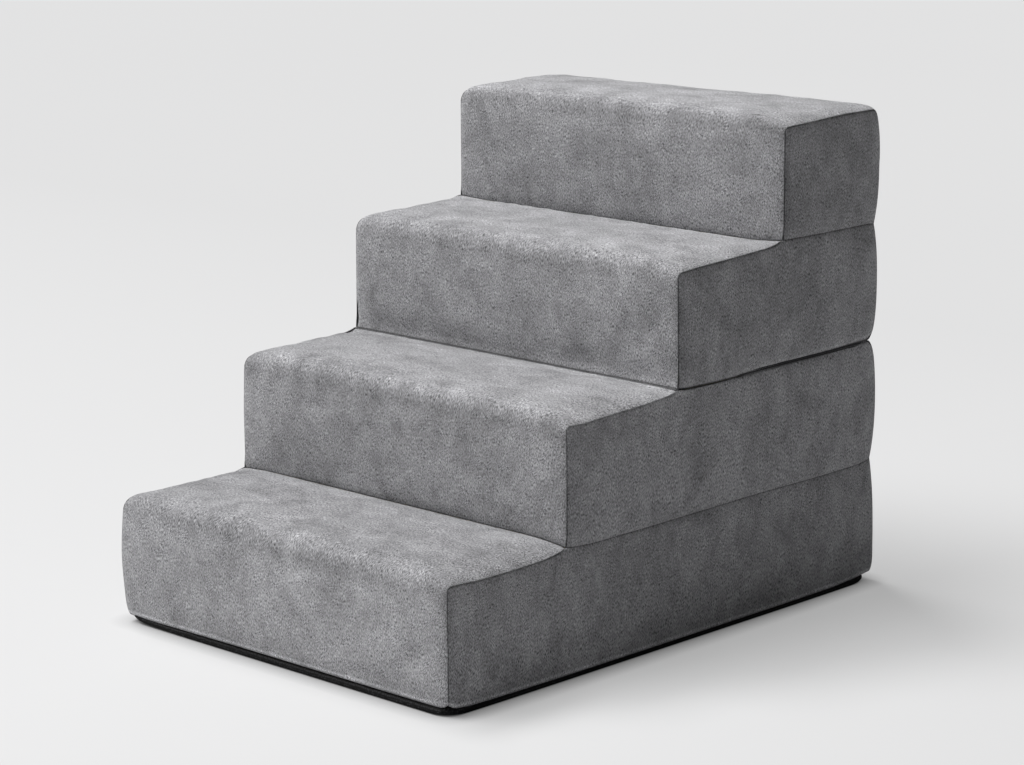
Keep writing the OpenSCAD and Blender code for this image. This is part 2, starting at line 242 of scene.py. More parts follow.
def nearCrease(k, distance, length):
    # 1 at the creases where two steps meet, 0 away from them
    below = easeOut(distance / stairs["creaseFade"]) if k > 0 else 0 * distance
    above = easeOut((length - distance) / stairs["creaseFade"]) if k < topStep else 0 * distance
    return np.maximum(below, above)


def crownShare(k, t, panel):
    start = stairs["crownStart"][panel] if k == 0 else 0
    return start + (1 - start) * t


def coverSurface(k, s, u, inset=0.0):
    # riser, nosing and tread: s along the path, u across from -1 to 1
    r = nosingAt(u)[None, :]
    length = pathLength(k, r)
    distance = s[:, None] * length
    y, z, ny, nz = stepPath(k, distance, panelLow(k), r)
    draw = drawIn(u)[None, :] * (1 - nearCrease(k, distance, length))
    crown = stairs["stepCrown"] * swell(s)[:, None] * (1 - np.abs(u) ** stairs["acrossPower"])
    out = crown - draw - inset
    foot = footRounding(z, u)
    return pointsOf(u * (seamX - inset - foot), y + ny * out + foot, z + nz * out)


def rearAt(k, z, u):
    t = (z - panelLow(k)) / (panelHigh(k) - panelLow(k))
    crown = stairs["rearCrown"] * swell(crownShare(k, t, "rear")) * (1 + stairs["rearSpread"] * u**2)
    return rearY - drawIn(u) - splitRounding(z) - footRounding(z, u) + crown


def rearSurface(k, v, u, low, high):
    # v up, u across; low and high are the heights of the edges at each u
    z = low[None, :] + (high - low)[None, :] * v[:, None]
    return pointsOf(u * (seamX - footRounding(z, u)), rearAt(k, z, u[None, :]), z)


def midNosing(k, side=1):
    r = nosingAt(float(side))
    return lowZ(k + 1) - r - panelLow(k) + math.pi / 4 * r


def sideOutline(k, side, a, b):
    # the four edges of a side panel in Y and Z: front, rear, bottom, top
    bottom, top = panelLow(k), panelHigh(k)
    mid, length = midNosing(k, side), pathLength(k, nosingAt(float(side)))

    def along(distance):
        return coverSurface(k, distance / length, np.array([float(side)]))[:, 0, 1:]

    front = along(b * mid)
    z = bottom + (top - bottom) * b
    rear = np.stack([rearAt(k, z, 1.0), z], 1)
    under = 0 if k == topStep else rear[-1, 0] - faceY(k + 1)
    reach = a * (length - mid + under)
    upper = along(np.minimum(mid + reach, length))
    past = np.clip(reach - (length - mid), 0, None)
    upper[:, 0] += past
    if under:
        upper[past > 0, 1] = top
    base = np.stack([front[0, 0] + (rear[0, 0] - front[0, 0]) * a, bottom + 0 * a], 1)
    return front, rear, base, upper


def sideSurface(k, side, a, b):
    front, rear, base, top = sideOutline(k, side, a, b)
    p, q = a[:, None, None], b[None, :, None]
    flat = (1 - p) * front[None] + p * rear[None] + (1 - q) * base[:, None] + q * top[:, None]
    flat -= (1 - p) * (1 - q) * base[0] + p * (1 - q) * base[-1] + (1 - p) * q * top[0] + p * q * top[-1]
    crown = swell(a, 4)[:, None] * swell(crownShare(k, b, "side"), 3)[None, :]
    out = stairs["sideCrown"] * crown - footRounding(flat[..., 1])
    return pointsOf(side * (seamX + out), flat[..., 0], flat[..., 1])


# how the side seams run: pairs of Y and height above the straight line, for the top of each layer

drops = {
    "lines": [
        [(-278, -6), (-262, -6.6), (-239, -8), (-193, -7.8), (-164, -6.8), (-145, -4.5), (-136, -3.2),
         (-125, -4.6), (-105, -6), (-20, -5.8), (20, -5.4), (60, -5), (115, -4.4), (200, -5), (254, -4.4),
         (268, -3), (276, -1)],
        [(-137, -6.4), (-125, -7.4), (-112, -7.6), (-95, -6.6), (-65, -5.4), (-35, -4.2), (-15, -2.2),
         (4, -0.4), (17, -1.2), (48, -1.8), (70, -1.9), (103, -1.1), (147, -0.4), (204, 0.3), (227, 1.2),
         (251, 2.2), (276, 2.6)],
        [(3, -6.2), (17, -5.4), (28, -4.4), (60, -3), (92, -1.4), (124, 0.4), (141, 2.8), (182, 2.2),
         (204, 2.1), (263, 2.2), (276, 1.6)],
        [(144, -5.8), (160, -5), (182, -4.2), (205, -3), (228, -1.9), (276, -2)],
    ],
    "foot": [(-278, -3), (-250, -5.4), (225, -5.6), (262, -4.2), (276, -3)],
    "fade": 45 * mm,
    "reach": 42 * mm,
    "rearReach": 13 * mm,
    "rearFade": 55 * mm,
    "power": 1.7,
    "left": 0.55,
    "leftFoot": 1.8 * mm,
}


def dropOf(k, y):
    # how far the seam along the top of layer k lies off its straight line
    places, heights = zip(*(drops["foot"] if k < 0 else drops["lines"][k]))
    return np.interp(y / mm, places, heights) * mm


def carried(k, points):
    # how far points of layer k move with the seams: fully at the side seams, less across the cover
    x, y, z = (points[..., i] for i in range(3))
    above = easeOut((lowZ(k + 1) - z) / drops["fade"])
    below = easeOut((z - lowZ(k)) / drops["fade"])
    less = (drops["reach"] - drops["rearReach"]) * easeOut((rearY - y) / drops["rearFade"])
    reach = drops["reach"] - less
    weight = np.clip(1 - (seamX - np.abs(x)) / reach, 0, 1) ** drops["power"]
    weight = weight * np.where(x > 0, 1, drops["left"])
    foot = below * dropOf(k - 1, np.maximum(y, faceY(k))) * (1 if k == 0 else weight)
    if k == 0:
        foot = foot - below * drops["leftFoot"] * np.clip(-x / seamX, 0, 1) ** 2
    return above * dropOf(k, y) * weight + foot


# meshes

def addObject(name, data):
    obj = bpy.data.objects.new(name, data)
    bpy.context.scene.collection.objects.link(obj)
    return obj


def addMesh(name, points, faces, body=None, material=None):
    mesh = bpy.data.meshes.new(name)
    mesh.from_pydata([tuple(p) for p in points], [], [tuple(f) for f in faces])
    mesh.validate()
    mesh.polygons.foreach_set("use_smooth", [True] * len(mesh.polygons))
    obj = addObject(name, mesh)
    if material:
        mesh.materials.append(material)
    if body:
        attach(obj, body)
    return obj


def gridFaces(rows, columns, offset=0, flip=False):
    corner = (np.arange(rows - 1)[:, None] * columns + np.arange(columns - 1)).ravel() + offset
    quads = np.stack([corner, corner + columns, corner + columns + 1, corner + 1], 1)
    return quads[:, ::-1] if flip else quads


def edgeLoop(rows, columns):
    index = np.arange(rows * columns).reshape(rows, columns)
    return np.concatenate([index[0, :-1], index[:-1, -1], index[-1, :0:-1], index[:0:-1, 0]])


def ringFaces(count, n, flip=False):
    # joins rings of n points, and closes them with a point before the first and one after the last
    start = np.arange(n)
    near, last = (start + 1) % n, (count - 1) * n
    bands = [(j * n + start, (j + 1) * n + start, (j + 1) * n + near, j * n + near) for j in range(count - 1)]
    caps = [(count * n + 0 * start, start, near), (count * n + 1 + 0 * start, last + near, last + start)]
    faces = []
    for corners in bands + caps:
        first, *others = corners
        faces += np.stack([first, *(others[::-1] if flip else others)], 1).tolist()
    return faces


def addPanel(name, outer, inner, weave, seam, body, material, flip):
    # a closed sheet of fabric between two grids, with its weave map and a point attribute of painted light
    # and shade
    rows, columns = outer.shape[:2]
    size = rows * columns
    loop = edgeLoop(rows, columns)
    after = np.roll(loop, -1)
    rim = np.stack([loop, after, after + size, loop + size], 1)
    faces = [gridFaces(rows, columns, 0, flip), gridFaces(rows, columns, size, not flip),
             rim[:, ::-1] if flip else rim]
    points = np.concatenate([outer.reshape(-1, 3), inner.reshape(-1, 3)])
    obj = addMesh(name, points, np.concatenate(faces), body, material)
    mesh = obj.data
    vertexOf = np.zeros(len(mesh.loops), int)
    mesh.loops.foreach_get("vertex_index", vertexOf)
    flat = np.concatenate([weave.reshape(-1, 2)] * 2)
    mesh.uv_layers.new(name="weave").uv.foreach_set("vector", flat[vertexOf].astype(np.float32).ravel())
    # painted light and shade for the plush material: above 0 darker, below 0 lighter
    near = mesh.attributes.new("paintedLightAndShade", "FLOAT", "POINT")
    near.data.foreach_set("value", np.concatenate([seam.ravel()] * 2).astype(np.float32))
    return obj


# cloth: every panel is let go for a moment under uneven pressure, held at its seams

cloth = {
    "cell": 9 * mm,
    "frames": 20,
    "capOut": 1.6 * mm,
    "capIn": 0.25 * mm,
    "unevenness": 55 * mm,
    "push": (0.5, 0.45),
    "settings": {
        "quality": 5,
        "mass": 0.25,
        "tension_stiffness": 12.0,
        "compression_stiffness": 12.0,
        "shear_stiffness": 6.0,
        "bending_stiffness": 1.5,
        "air_damping": 2,
        "use_pressure": True,
        "use_pressure_volume": True,
        "target_volume": 0,
        "uniform_pressure_force": 4.0,
        "vertex_group_pressure": "push",
        "vertex_group_mass": "held",
        "shrink_min": -0.004,
    },
}


def settlePanels(panels):
    # panels: name to a coarse grid and its flip; gives how far each point moved
    scene = bpy.context.scene
    made = {}
    for index, (name, (grid, flip)) in enumerate(panels.items()):
        rows, columns = grid.shape[:2]
        obj = addMesh("settle_" + name, grid.reshape(-1, 3), gridFaces(rows, columns, 0, flip))
        obj.vertex_groups.new(name="held").add(edgeLoop(rows, columns).tolist(), 1.0, "REPLACE")
        push = obj.vertex_groups.new(name="push")
        even, uneven = cloth["push"]
        weight = np.clip(even + uneven * softWaves(grid, cloth["unevenness"], 40 + index), 0, 1).ravel()
        for vertex, value in enumerate(weight):
            push.add([vertex], float(value), "REPLACE")
        modifier = obj.modifiers.new("Cloth", "CLOTH")
        for label, value in cloth["settings"].items():
            setattr(modifier.settings, label, value)
        modifier.settings.effector_weights.gravity = 0
        modifier.collision_settings.use_collision = False
        made[name] = obj
    for step in range(1, cloth["frames"] + 1):
        scene.frame_set(step)
    graph = bpy.context.evaluated_depsgraph_get()
    moves = {}
    for name, obj in made.items():
        loose = obj.evaluated_get(graph).data
        points = np.zeros(len(loose.vertices) * 3)
        loose.vertices.foreach_get("co", points)
        grid = panels[name][0]
        moves[name] = capped(points.reshape(grid.shape) - grid)
    for obj in made.values():
        bpy.data.meshes.remove(obj.data)  # and its object with it
    scene.frame_set(1)
    return moves


def capped(field):
    # a soft limit on how far cloth has moved
    size = np.linalg.norm(field, axis=-1, keepdims=True)
    return field * np.tanh(size / cloth["capOut"]) * cloth["capOut"] / np.maximum(size, 1e-9)


def coarseShares(length):
    return np.linspace(0, 1, max(4, int(round(length / cloth["cell"]))) + 1)


zipGap = {"room": 0.4 * mm, "past": 0.035, "fade": 0.05}


def zipCut(u):
    # how far a rear panel stops short of the zip, at each place across
    low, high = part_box("lower_zip_slider")
    half = (high.z - low.z) / 2 + zipGap["room"]
    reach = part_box("lower_zip_tapes")[1].x / seamX
    return half * (1 - easeOut((reach + zipGap["past"] - np.abs(u)) / zipGap["fade"]))


def rearEdges(k, u):
    low, high = np.full(len(u), panelLow(k)), np.full(len(u), panelHigh(k))
    return (low + zipCut(u), high) if k % 2 else (low, high - zipCut(u))


def coarsePanels():
    panels = {}
    across = np.linspace(-1, 1, int(round(2 * seamX / cloth["cell"])) + 1)
    for k in range(stairs["steps"]):
        panels[f"step{k}"] = (coverSurface(k, coarseShares(pathLength(k)), across), True)
        a, b = coarseShares(rearY - faceY(k)), coarseShares(stairs["rise"])
        for side in (-1, 1):
            panels[f"side{k}{side}"] = (sideSurface(k, side, a, b), side < 0)
        panels[f"rear{k}"] = (rearSurface(k, b, across, *rearEdges(k, across)), False)
    return panels


moves = settlePanels(coarsePanels())
print("stage: cloth settled")


def settled(name, a, b):
    if name not in moves:
        return 0.0
    field = moves[name]
    rows, columns = cubicWeights(a, field.shape[0]), cubicWeights(b, field.shape[1])
    return np.einsum("im,mnc,jn->ijc", rows, field, columns)


# panels: how their fabric turns in at the seams and gathers at the creases

plush = {
    "thick": 1.2 * mm,
    "step": 5 * mm,
    "acrossStep": 6 * mm,
    "fine": [0, 0.7 * mm, 1.6 * mm, 3 * mm, 5.5 * mm, 9 * mm],
    "hold": 14 * mm,
    "pull": 0.8 * mm,
    "pullSide": 0.7 * mm,
    "sideTurn": 1.4 * mm,
    "turn": 4.5 * mm,
    "creasePull": 0.9 * mm,
    "foldRoom": 2.2 * mm,
    "foldReach": 30 * mm,
    "foldSeam": 7 * mm,
    "splitPull": 2.2 * mm,
    "splitTurn": 8 * mm,
    "splitOpen": -0.25 * mm,
    "lipWave": (34 * mm, 0.12 * mm),
    "waves": [(70 * mm, 0.2 * mm, 1), (26 * mm, 0.09 * mm, 2)],
    "nosingWave": 0.22 * mm,
    "nosingLength": 24 * mm,
    "nosingReach": 14 * mm,
    "ripple": 0.4 * mm,
    "rippleFade": 22 * mm,
    "rippleLength": 17 * mm,
    "rippleStart": 4 * mm,
    "treadRipple": 0.6,
    "topRipple": 2.2,
    "notch": 2.6 * mm,
    "notchReach": (9 * mm, 16 * mm),
    "tuft": 2.0 * mm,
    "tuftAt": 4 * mm,
    "tuftReach": (8 * mm, 11 * mm),
    "edgeFade": 6 * mm,
    "splitLift": 0.3 * mm,
    "splitTo": 0.6,  # how far to the rear the halves roll in, as a share of their depth
    "pileShift": {"step": 0.31, "side": 0.7, "apart": 0.13, "rear": 1.5},  # so that no two panels repeat
}

# painted shade and painted highlights along the seams, creases and edges
seams = {
    "dark": 1.1 * mm,
    "ridgeAt": 4.0 * mm,
    "ridgeWide": 2.2 * mm,
    "hollow": (3, 1.6, 0.4),  # behind the ridge: its place, width and strength, as shares of the ridge's
    "soft": (0.5, 0.7),  # where the dark ends and how softly, as shares of its width
    "coverRidge": (0.1, 0.3),  # beside the side seams of a cover, and how much more on its tread
    "coverWide": 0.7,
    "sideFront": (0.05, 0.55),
    "sideTop": 1.7,
    "faint": (0.5, 0.5),  # strength and width of a seam between two layers of a side
    "rearRidge": 0.08,
    "split": (0.8, 1.6),  # width of the dark along the split: upper half, and more where the lower opens
    "creaseShade": 0.7,
    "creaseWide": 0.9 * mm,
    "lip": 1.3,
    "lipAt": 2.8 * mm,
    "lipWide": 1.3 * mm,
    # a painted pale lip where the halves open, a painted highlight on the tuft, and painted shade under
    # rolled edges
    "splitLip": 0.35,
    "splitLipAt": 2.6 * mm,
    "splitLipWide": 1.4 * mm,
    "tuftLight": 0.4,
    "roll": 0.22,
    "rollReach": 11 * mm,
}

# painted light and shade for each panel, lighter below 0, darker above: paler treads higher up, darker upper
# sides, a darker band at the nosing and a paler band on the tread behind it
paintedPanelShading = {
    "riser": [-0.05, 0.03, -0.03, -0.01],
    "tread": [-0.04, -0.18, -0.3, -0.42],
    "side": [-0.02, -0.02, 0.13, 0.21],
    "turn": 18 * mm,
    "nosing": [0.2, 0.2, 0.2, 0.34],
    "nosingUnder": [11 * mm, 11 * mm, 11 * mm, 5 * mm],
    "nosingWide": 7 * mm,
    "shoulder": 0.13,
    "shoulderAt": 30 * mm,
    "shoulderWide": 18 * mm,
}

# how the filled covers stand: sideways moves in mm at some heights, and a swelling at the left front
slouch = {
    "heights": [7, 60, 119, 170, 227, 336, 445],
    "right": [-1.2, -1.0, -1.2, -1.0, -1.2, -4.2, -6],
    "rightRear": [1.5, 1, 0.5, 1, 0.5, 0.5, 1],
    "left": [5, 6, 5, 5.5, 2, -0.5, -1],
    "bulge": 7 * mm,
    "bulgeReach": 100 * mm,
    "bulgeAt": 60 * mm,
    "bulgeHeight": 55 * mm,
    "flare": 1.8 * mm,
    "flareHeight": 55 * mm,
    "tilt": 1.6 * mm,
    "tiltAll": 0.2,
    "tiltFade": 90 * mm,
}


def slouched(grid):
    # a filled cover stands a little wider below than above, and swells at its left front
    x, y, z = (grid[..., i].copy() for i in range(3))
    share = np.clip(x / seamX, -1, 1)
    onRight, onLeft = np.clip(share, 0, 1), np.clip(-share, 0, 1)
    t = np.clip((y - frontY) / (rearY - frontY), 0, 1)
    right, rightRear, left = (
        np.interp(z / mm, slouch["heights"], slouch[name]) * mm for name in ("right", "rightRear", "left")
    )
    shift = onRight * (right + (rightRear - right) * t) - onLeft * left * (1 - t)
    swollen = slouch["bulge"] * onLeft**2 * hump(y, frontY, slouch["bulgeReach"])
    swollen = swollen * hump(z, slouch["bulgeAt"], slouch["bulgeHeight"])
    along = np.clip(np.abs(2 * t - 1), 0, 1)
    flare = slouch["flare"] * share * np.abs(share) ** 3 * easeOut(z / slouch["flareHeight"]) * (1 - along**6)
    tilt = slouch["tilt"] * (share + slouch["tiltAll"])
    grid[..., 0] = x + shift - swollen + flare
    grid[..., 2] = z + tilt * easeOut((lowZ(topStep + 1) - z) / slouch["tiltFade"]) * t
    return grid


def turned(distance, reach=plush["turn"]):
    return easeOut(distance / reach)


def fromEnds(row):
    return np.minimum(row, row[-1] - row)


def seamDistance(down, over):
    return np.minimum(fromEnds(down)[:, None], fromEnds(over)[None, :])


def paintedSeamShade(distance, ridge=0.0, wide=1.0):
    # painted shade in the seam, a painted pale ridge of light beside it, and a little painted shade behind
    # that ridge
    at, spread = seams["ridgeAt"], seams["ridgeWide"]
    (place, width, strength), (end, soft) = seams["hollow"], seams["soft"]
    pale = ridge * hump(distance, at, spread) - strength * ridge * hump(distance, place * at, width * spread)
    return easeOut((distance / seams["dark"] - end * wide) / (soft * wide)) - pale


def paintedCreaseShade(distance):
    # painted shade in the crease where two steps meet
    return seams["creaseShade"] * easeOut(distance / seams["creaseWide"])


def paintedFaintSeamShade(distance):
    # painted shade, fainter, at a seam between two layers of a side
    strength, wide = seams["faint"]
    return strength * paintedSeamShade(distance, wide=wide)


def lipTone(distance):
    # a folded edge that catches the light
    return -seams["lip"] * hump(distance, seams["lipAt"], seams["lipWide"])


def underEdge(distance):
    # the side lies in the shade of the edge that rolls over it
    return seams["roll"] * easeOut(distance / seams["rollReach"])


def ripples(across, away, seed):
    # gathers that run out from a crease
    line = softWaves(across[..., None], plush["rippleLength"], seed, 10)
    start = 1 - np.exp(-away / plush["rippleStart"])
    return plush["ripple"] * line * np.exp(-away / plush["rippleFade"]) * start


# materials

def addNode(tree, kind, inputs=None, **values):
    node = tree.nodes.new(kind)
    for name, value in values.items():
        setattr(node, name, value)
    for key, value in (inputs or {}).items():
        if isinstance(value, bpy.types.NodeSocket):
            tree.links.new(value, node.inputs[key])
        else:
            node.inputs[key].default_value = value
    return node


def calc(tree, operation, *values, clamp=False):
    inputs = dict(enumerate(values))
    return addNode(tree, "ShaderNodeMath", inputs, operation=operation, use_clamp=clamp).outputs[0]


def timesPlus(tree, value, factor, more, clamp=False):
    return calc(tree, "MULTIPLY_ADD", value, factor, more, clamp=clamp)


def product(tree, first, *others):
    for other in others:
        first = calc(tree, "MULTIPLY", first, other)
    return first


def scaled(tree, vector, factor):
    return addNode(tree, "ShaderNodeVectorMath", {0: vector, 3: factor}, operation="SCALE").outputs[0]


def ramp(tree, value, low, high, start=0.0, end=1.0):
    return addNode(tree, "ShaderNodeMapRange", {0: value, 1: low, 2: high, 3: start, 4: end}).outputs[0]


def noiseNode(tree, vector, scale, detail=2.0, rough=0.5, distortion=0.0):
    inputs = {
        "Vector": vector, "Scale": scale, "Detail": detail, "Roughness": rough, "Distortion": distortion,
    }
    return addNode(tree, "ShaderNodeTexNoise", inputs).outputs["Fac"]


def turnedVector(tree, vector, degrees, scale=(1, 1, 1)):
    inputs = {"Vector": vector, "Rotation": (0, 0, math.radians(degrees)), "Scale": scale}
    return addNode(tree, "ShaderNodeMapping", inputs).outputs["Vector"]


def addSocket(group, label, way, kind="NodeSocketFloat"):
    return group.interface.new_socket(label, in_out=way, socket_type=kind)


def newGroup(name, sizes, build):
    # takes a vector and some sizes, and gives the plain values that build makes of them
    group = bpy.data.node_groups.new(name, "ShaderNodeTree")
    addSocket(group, "Vector", "INPUT", "NodeSocketVector")
    for label, value in sizes.items():
        addSocket(group, label, "INPUT").default_value = value
    made = build(group, group.nodes.new("NodeGroupInput").outputs)
    end = group.nodes.new("NodeGroupOutput")
    for label, value in made.items():
        addSocket(group, label, "OUTPUT")
        group.links.new(value, end.inputs[label])
    return group


def measured(group, given, label, unitSize=1.0):
    # the given vector, measured in one of the given sizes
    return scaled(group, given["Vector"], calc(group, "DIVIDE", unitSize, given[label]))


pile = {
    "dash": (0.3, 1.15, 1),
    "leans": (-52, -104),
    "patchScale": 0.07,
    "patchEdges": (0.42, 0.6),
    "pitScale": 0.62,
    "pitDepth": 0.4,
    "pitLevel": 0.19,
    "dashHeight": 0.5,
    "dashTone": 0.8,
    "dashEdges": (0.3, 0.7, -1.0, 1.0),
}
# noise of the finer textures: scale, detail, roughness and distortion; levels set their middle tone
nap = {"Cloud": (1.0, 4.0, 0.55, 0.7), "Smudge": (1.0, 3.0, 0.6, 1.2), "smudges": 0.65}
yarn = {"slubScale": 0.35, "slub": 0.5, "level": 0.6}
dots = {"edges": (0.55, 0.15), "level": 0.35}
wear = {"cloud": (1.0, 5.0, 0.65), "edges": (0.5, 0.8)}


def pileNodes(group, given):
    # short pile: dashes that lean two ways in patches, and small pits between the tufts
    place = measured(group, given, "Tuft")
    rising, falling = (
        noiseNode(group, turnedVector(group, turnedVector(group, place, lean), 0, pile["dash"]), 1.0, 0.0)
        for lean in pile["leans"]
    )
    share = ramp(group, noiseNode(group, place, pile["patchScale"]), *pile["patchEdges"])
    mixed = addNode(group, "ShaderNodeMix", {0: share, 2: falling, 3: rising}).outputs[0]
    dashes = ramp(group, mixed, *pile["dashEdges"])
    inputs = {"Vector": place, "Scale": pile["pitScale"]}
    pits = addNode(group, "ShaderNodeTexVoronoi", inputs, feature="F1").outputs["Distance"]
    hollows = timesPlus(group, pits, -pile["pitDepth"], pile["pitLevel"])
    strokes = calc(group, "MULTIPLY", dashes, pile["dashTone"])
    return {
        "Height": timesPlus(group, dashes, pile["dashHeight"], hollows),
        "Tone": timesPlus(group, hollows, 0.5, strokes),
    }


def napNodes(group, given):
    # the brushed nap: soft light and dark clouds, with smaller smudges in them
    clouds, smudges = (
        calc(group, "SUBTRACT", noiseNode(group, measured(group, given, label), *nap[label]), 0.5)
        for label in ("Cloud", "Smudge")
    )
    smaller = calc(group, "MULTIPLY", smudges, nap["smudges"])
    return {"Tone": calc(group, "ADD", clouds, smaller), "Lie": smudges}


def weaveNodes(group, given):
    # plain weave: two sets of yarns that cross
    place = measured(group, given, "Yarn", math.pi)
    x, y, z = addNode(group, "ShaderNodeSeparateXYZ", {0: place}).outputs
    over = product(group, calc(group, "SINE", x), calc(group, "SINE", calc(group, "ADD", y, z)))
    slub = calc(group, "MULTIPLY", noiseNode(group, place, yarn["slubScale"]), yarn["slub"])
    height = calc(group, "ADD", calc(group, "ABSOLUTE", over), slub)
    return {"Height": height, "Tone": calc(group, "SUBTRACT", height, yarn["level"])}


def dotNodes(group, given):
    # small raised dots or open cells, set a little unevenly
    inputs = {"Vector": measured(group, given, "Pitch"), "Scale": 1.0, "Randomness": given["Uneven"]}
    cells = addNode(group, "ShaderNodeTexVoronoi", inputs, feature="F1").outputs["Distance"]
    dot = ramp(group, cells, *dots["edges"])
    return {"Height": dot, "Tone": calc(group, "SUBTRACT", dot, dots["level"])}


def wearNodes(group, given):
    # dust and rub: a speckled mask that gathers where the noise is high
    cloud = noiseNode(group, measured(group, given, "Spot"), *wear["cloud"])
    return {"Mask": calc(group, "MULTIPLY", ramp(group, cloud, *wear["edges"]), given["Amount"])}


groups = {
    "pile": newGroup("pile grain", {"Tuft": 1.3 * mm}, pileNodes),
    "nap": newGroup("brushed nap", {"Cloud": 34 * mm, "Smudge": 11 * mm}, napNodes),
    "weave": newGroup("plain weave", {"Yarn": 0.9 * mm}, weaveNodes),
    "dots": newGroup("dots and cells", {"Pitch": 2.2 * mm, "Uneven": 0.4}, dotNodes),
    "wear": newGroup("rub and dust", {"Spot": 12 * mm, "Amount": 0.3}, wearNodes),
}


def newMaterial(name, **constants):
    material = bpy.data.materials.new(name)
    material.use_nodes = True
    tree = material.node_tree
    shader = tree.nodes["Principled BSDF"]
    for socket, value in constants.items():
        shader.inputs[socket.replace("_", " ")].default_value = value
    return material, tree, shader


def placed(tree, kind, **inputs):
    return addNode(tree, "ShaderNodeGroup", inputs, node_tree=groups[kind]).outputs


def feed(tree, shader, colour, rough, height, strength, distance, **values):
    inputs = {"Strength": strength, "Distance": distance, "Height": height}
    bump = addNode(tree, "ShaderNodeBump", inputs, **values).outputs[0]
    for label, value in (("Base Color", colour), ("Roughness", rough), ("Normal", bump)):
        tree.links.new(value, shader.inputs[label])


plushLook = {
    "colour": (0.281, 0.280, 0.290),
    "tuft": 0.7 * mm,
    "grain": 0.85,
    "clouds": 1.15,
    "streak": (0.9, 1.15, 0.8),
    "seamShade": 0.8,
    "dust": 0.06,
    "dustSpot": 20 * mm,
    "rough": 0.88,
    "roughSpread": 0.25,
    "bump": 1.0,
    "bumpHeight": 0.42 * mm,
    "sheen": 0.25,
    "sheenRough": 0.45,
    "specular": 0.15,
}


def plushMaterial(name, look):
    material, tree, shader = newMaterial(
        name, Sheen_Weight=look["sheen"], Sheen_Roughness=look["sheenRough"],
        Specular_IOR_Level=look["specular"])
    weave = addNode(tree, "ShaderNodeUVMap", uv_map="weave").outputs[0]
    place = addNode(tree, "ShaderNodeTexCoord").outputs["Object"]
    tufts = placed(tree, "pile", Vector=weave, Tuft=look["tuft"])
    lie = placed(tree, "nap", Vector=turnedVector(tree, place, 0, look["streak"]))
    dust = placed(tree, "wear", Vector=place, Spot=look["dustSpot"], Amount=look["dust"])["Mask"]
    # painted light and shade: the panels' attribute darkens the plush at seams, creases and some faces, and
    # lightens it at lips and ridges
    near = addNode(tree, "ShaderNodeAttribute", attribute_name="paintedLightAndShade").outputs["Fac"]
    grain = timesPlus(tree, tufts["Tone"], look["grain"], 1.0)
    clouds = timesPlus(tree, lie["Tone"], look["clouds"], 1.0)
    shade = timesPlus(tree, near, -look["seamShade"], 1.0)
    colour = scaled(tree, look["colour"], calc(tree, "ADD", product(tree, grain, clouds, shade), dust))
    rough = timesPlus(tree, lie["Lie"], look["roughSpread"], look["rough"], clamp=True)
    feed(tree, shader, colour, rough, tufts["Height"], look["bump"], look["bumpHeight"])
    return material


finish = {"rubRough": 0.4, "bump": 0.7}
simpleLooks = {
    "base": {"name": "black non-slip base", "colour": (0.0075, 0.0075, 0.008), "rough": 0.75,
             "kind": "dots", "cell": 2.2 * mm, "tone": 4.5, "bump": 0.35 * mm, "specular": 0.2},
    "foam": {"name": "cream foam", "colour": (0.72, 0.64, 0.42), "rough": 0.92,
             "kind": "dots", "cell": 1.4 * mm, "tone": -0.4, "bump": -0.5 * mm, "specular": 0.2},
    "lining": {"name": "dark lining", "colour": (0.028, 0.028, 0.03), "rough": 0.75,
               "kind": "weave", "cell": 0.8 * mm, "tone": 0.5, "bump": 0.2 * mm, "specular": 0.3},
    "tape": {"name": "zip tape", "colour": (0.035, 0.035, 0.037), "rough": 0.8,
             "kind": "weave", "cell": 0.6 * mm, "tone": 0.6, "bump": 0.15 * mm, "specular": 0.3},
    "thread": {"name": "grey thread", "colour": (0.16, 0.16, 0.165), "rough": 0.6,
               "kind": "weave", "cell": 0.4 * mm, "tone": 0.5, "bump": 0.1 * mm, "specular": 0.3},
    "teeth": {"name": "zip teeth", "colour": (0.022, 0.022, 0.024), "rough": 0.35,
              "kind": "dots", "cell": 0.9 * mm, "tone": 0.3, "bump": 0.02 * mm, "specular": 0.5},
    "metal": {"name": "zip metal", "colour": (0.55, 0.55, 0.56), "rough": 0.28, "metallic": 1.0,
              "kind": "dots", "cell": 0.7 * mm, "tone": 0.1, "bump": 0.01 * mm, "specular": 0.5},
}


def simpleMaterial(look):
    # one texture group feeds colour, roughness and bump, with some rub over it
    material, tree, shader = newMaterial(
        look["name"], Specular_IOR_Level=look["specular"], Metallic=look.get("metallic", 0.0))
    place = addNode(tree, "ShaderNodeTexCoord").outputs["Object"]
    size = {"dots": "Pitch", "weave": "Yarn"}[look["kind"]]
    found = placed(tree, look["kind"], Vector=place, **{size: look["cell"]})
    rub = placed(tree, "wear", Vector=place)["Mask"]
    factor = calc(tree, "ADD", timesPlus(tree, found["Tone"], look["tone"], 1.0), rub)
    rough = timesPlus(tree, rub, finish["rubRough"], look["rough"], clamp=True)
    feed(tree, shader, scaled(tree, look["colour"], factor), rough, found["Height"], finish["bump"],
         abs(look["bump"]), invert=look["bump"] < 0)
    return material


looks = {kind: simpleMaterial(look) for kind, look in simpleLooks.items()}
looks["plush"] = plushMaterial("grey plush", plushLook)
print("stage: materials made")


# the upholstery

def edgeHold(down, over):
    return 1 - easeOut(seamDistance(down, over) / plush["hold"])


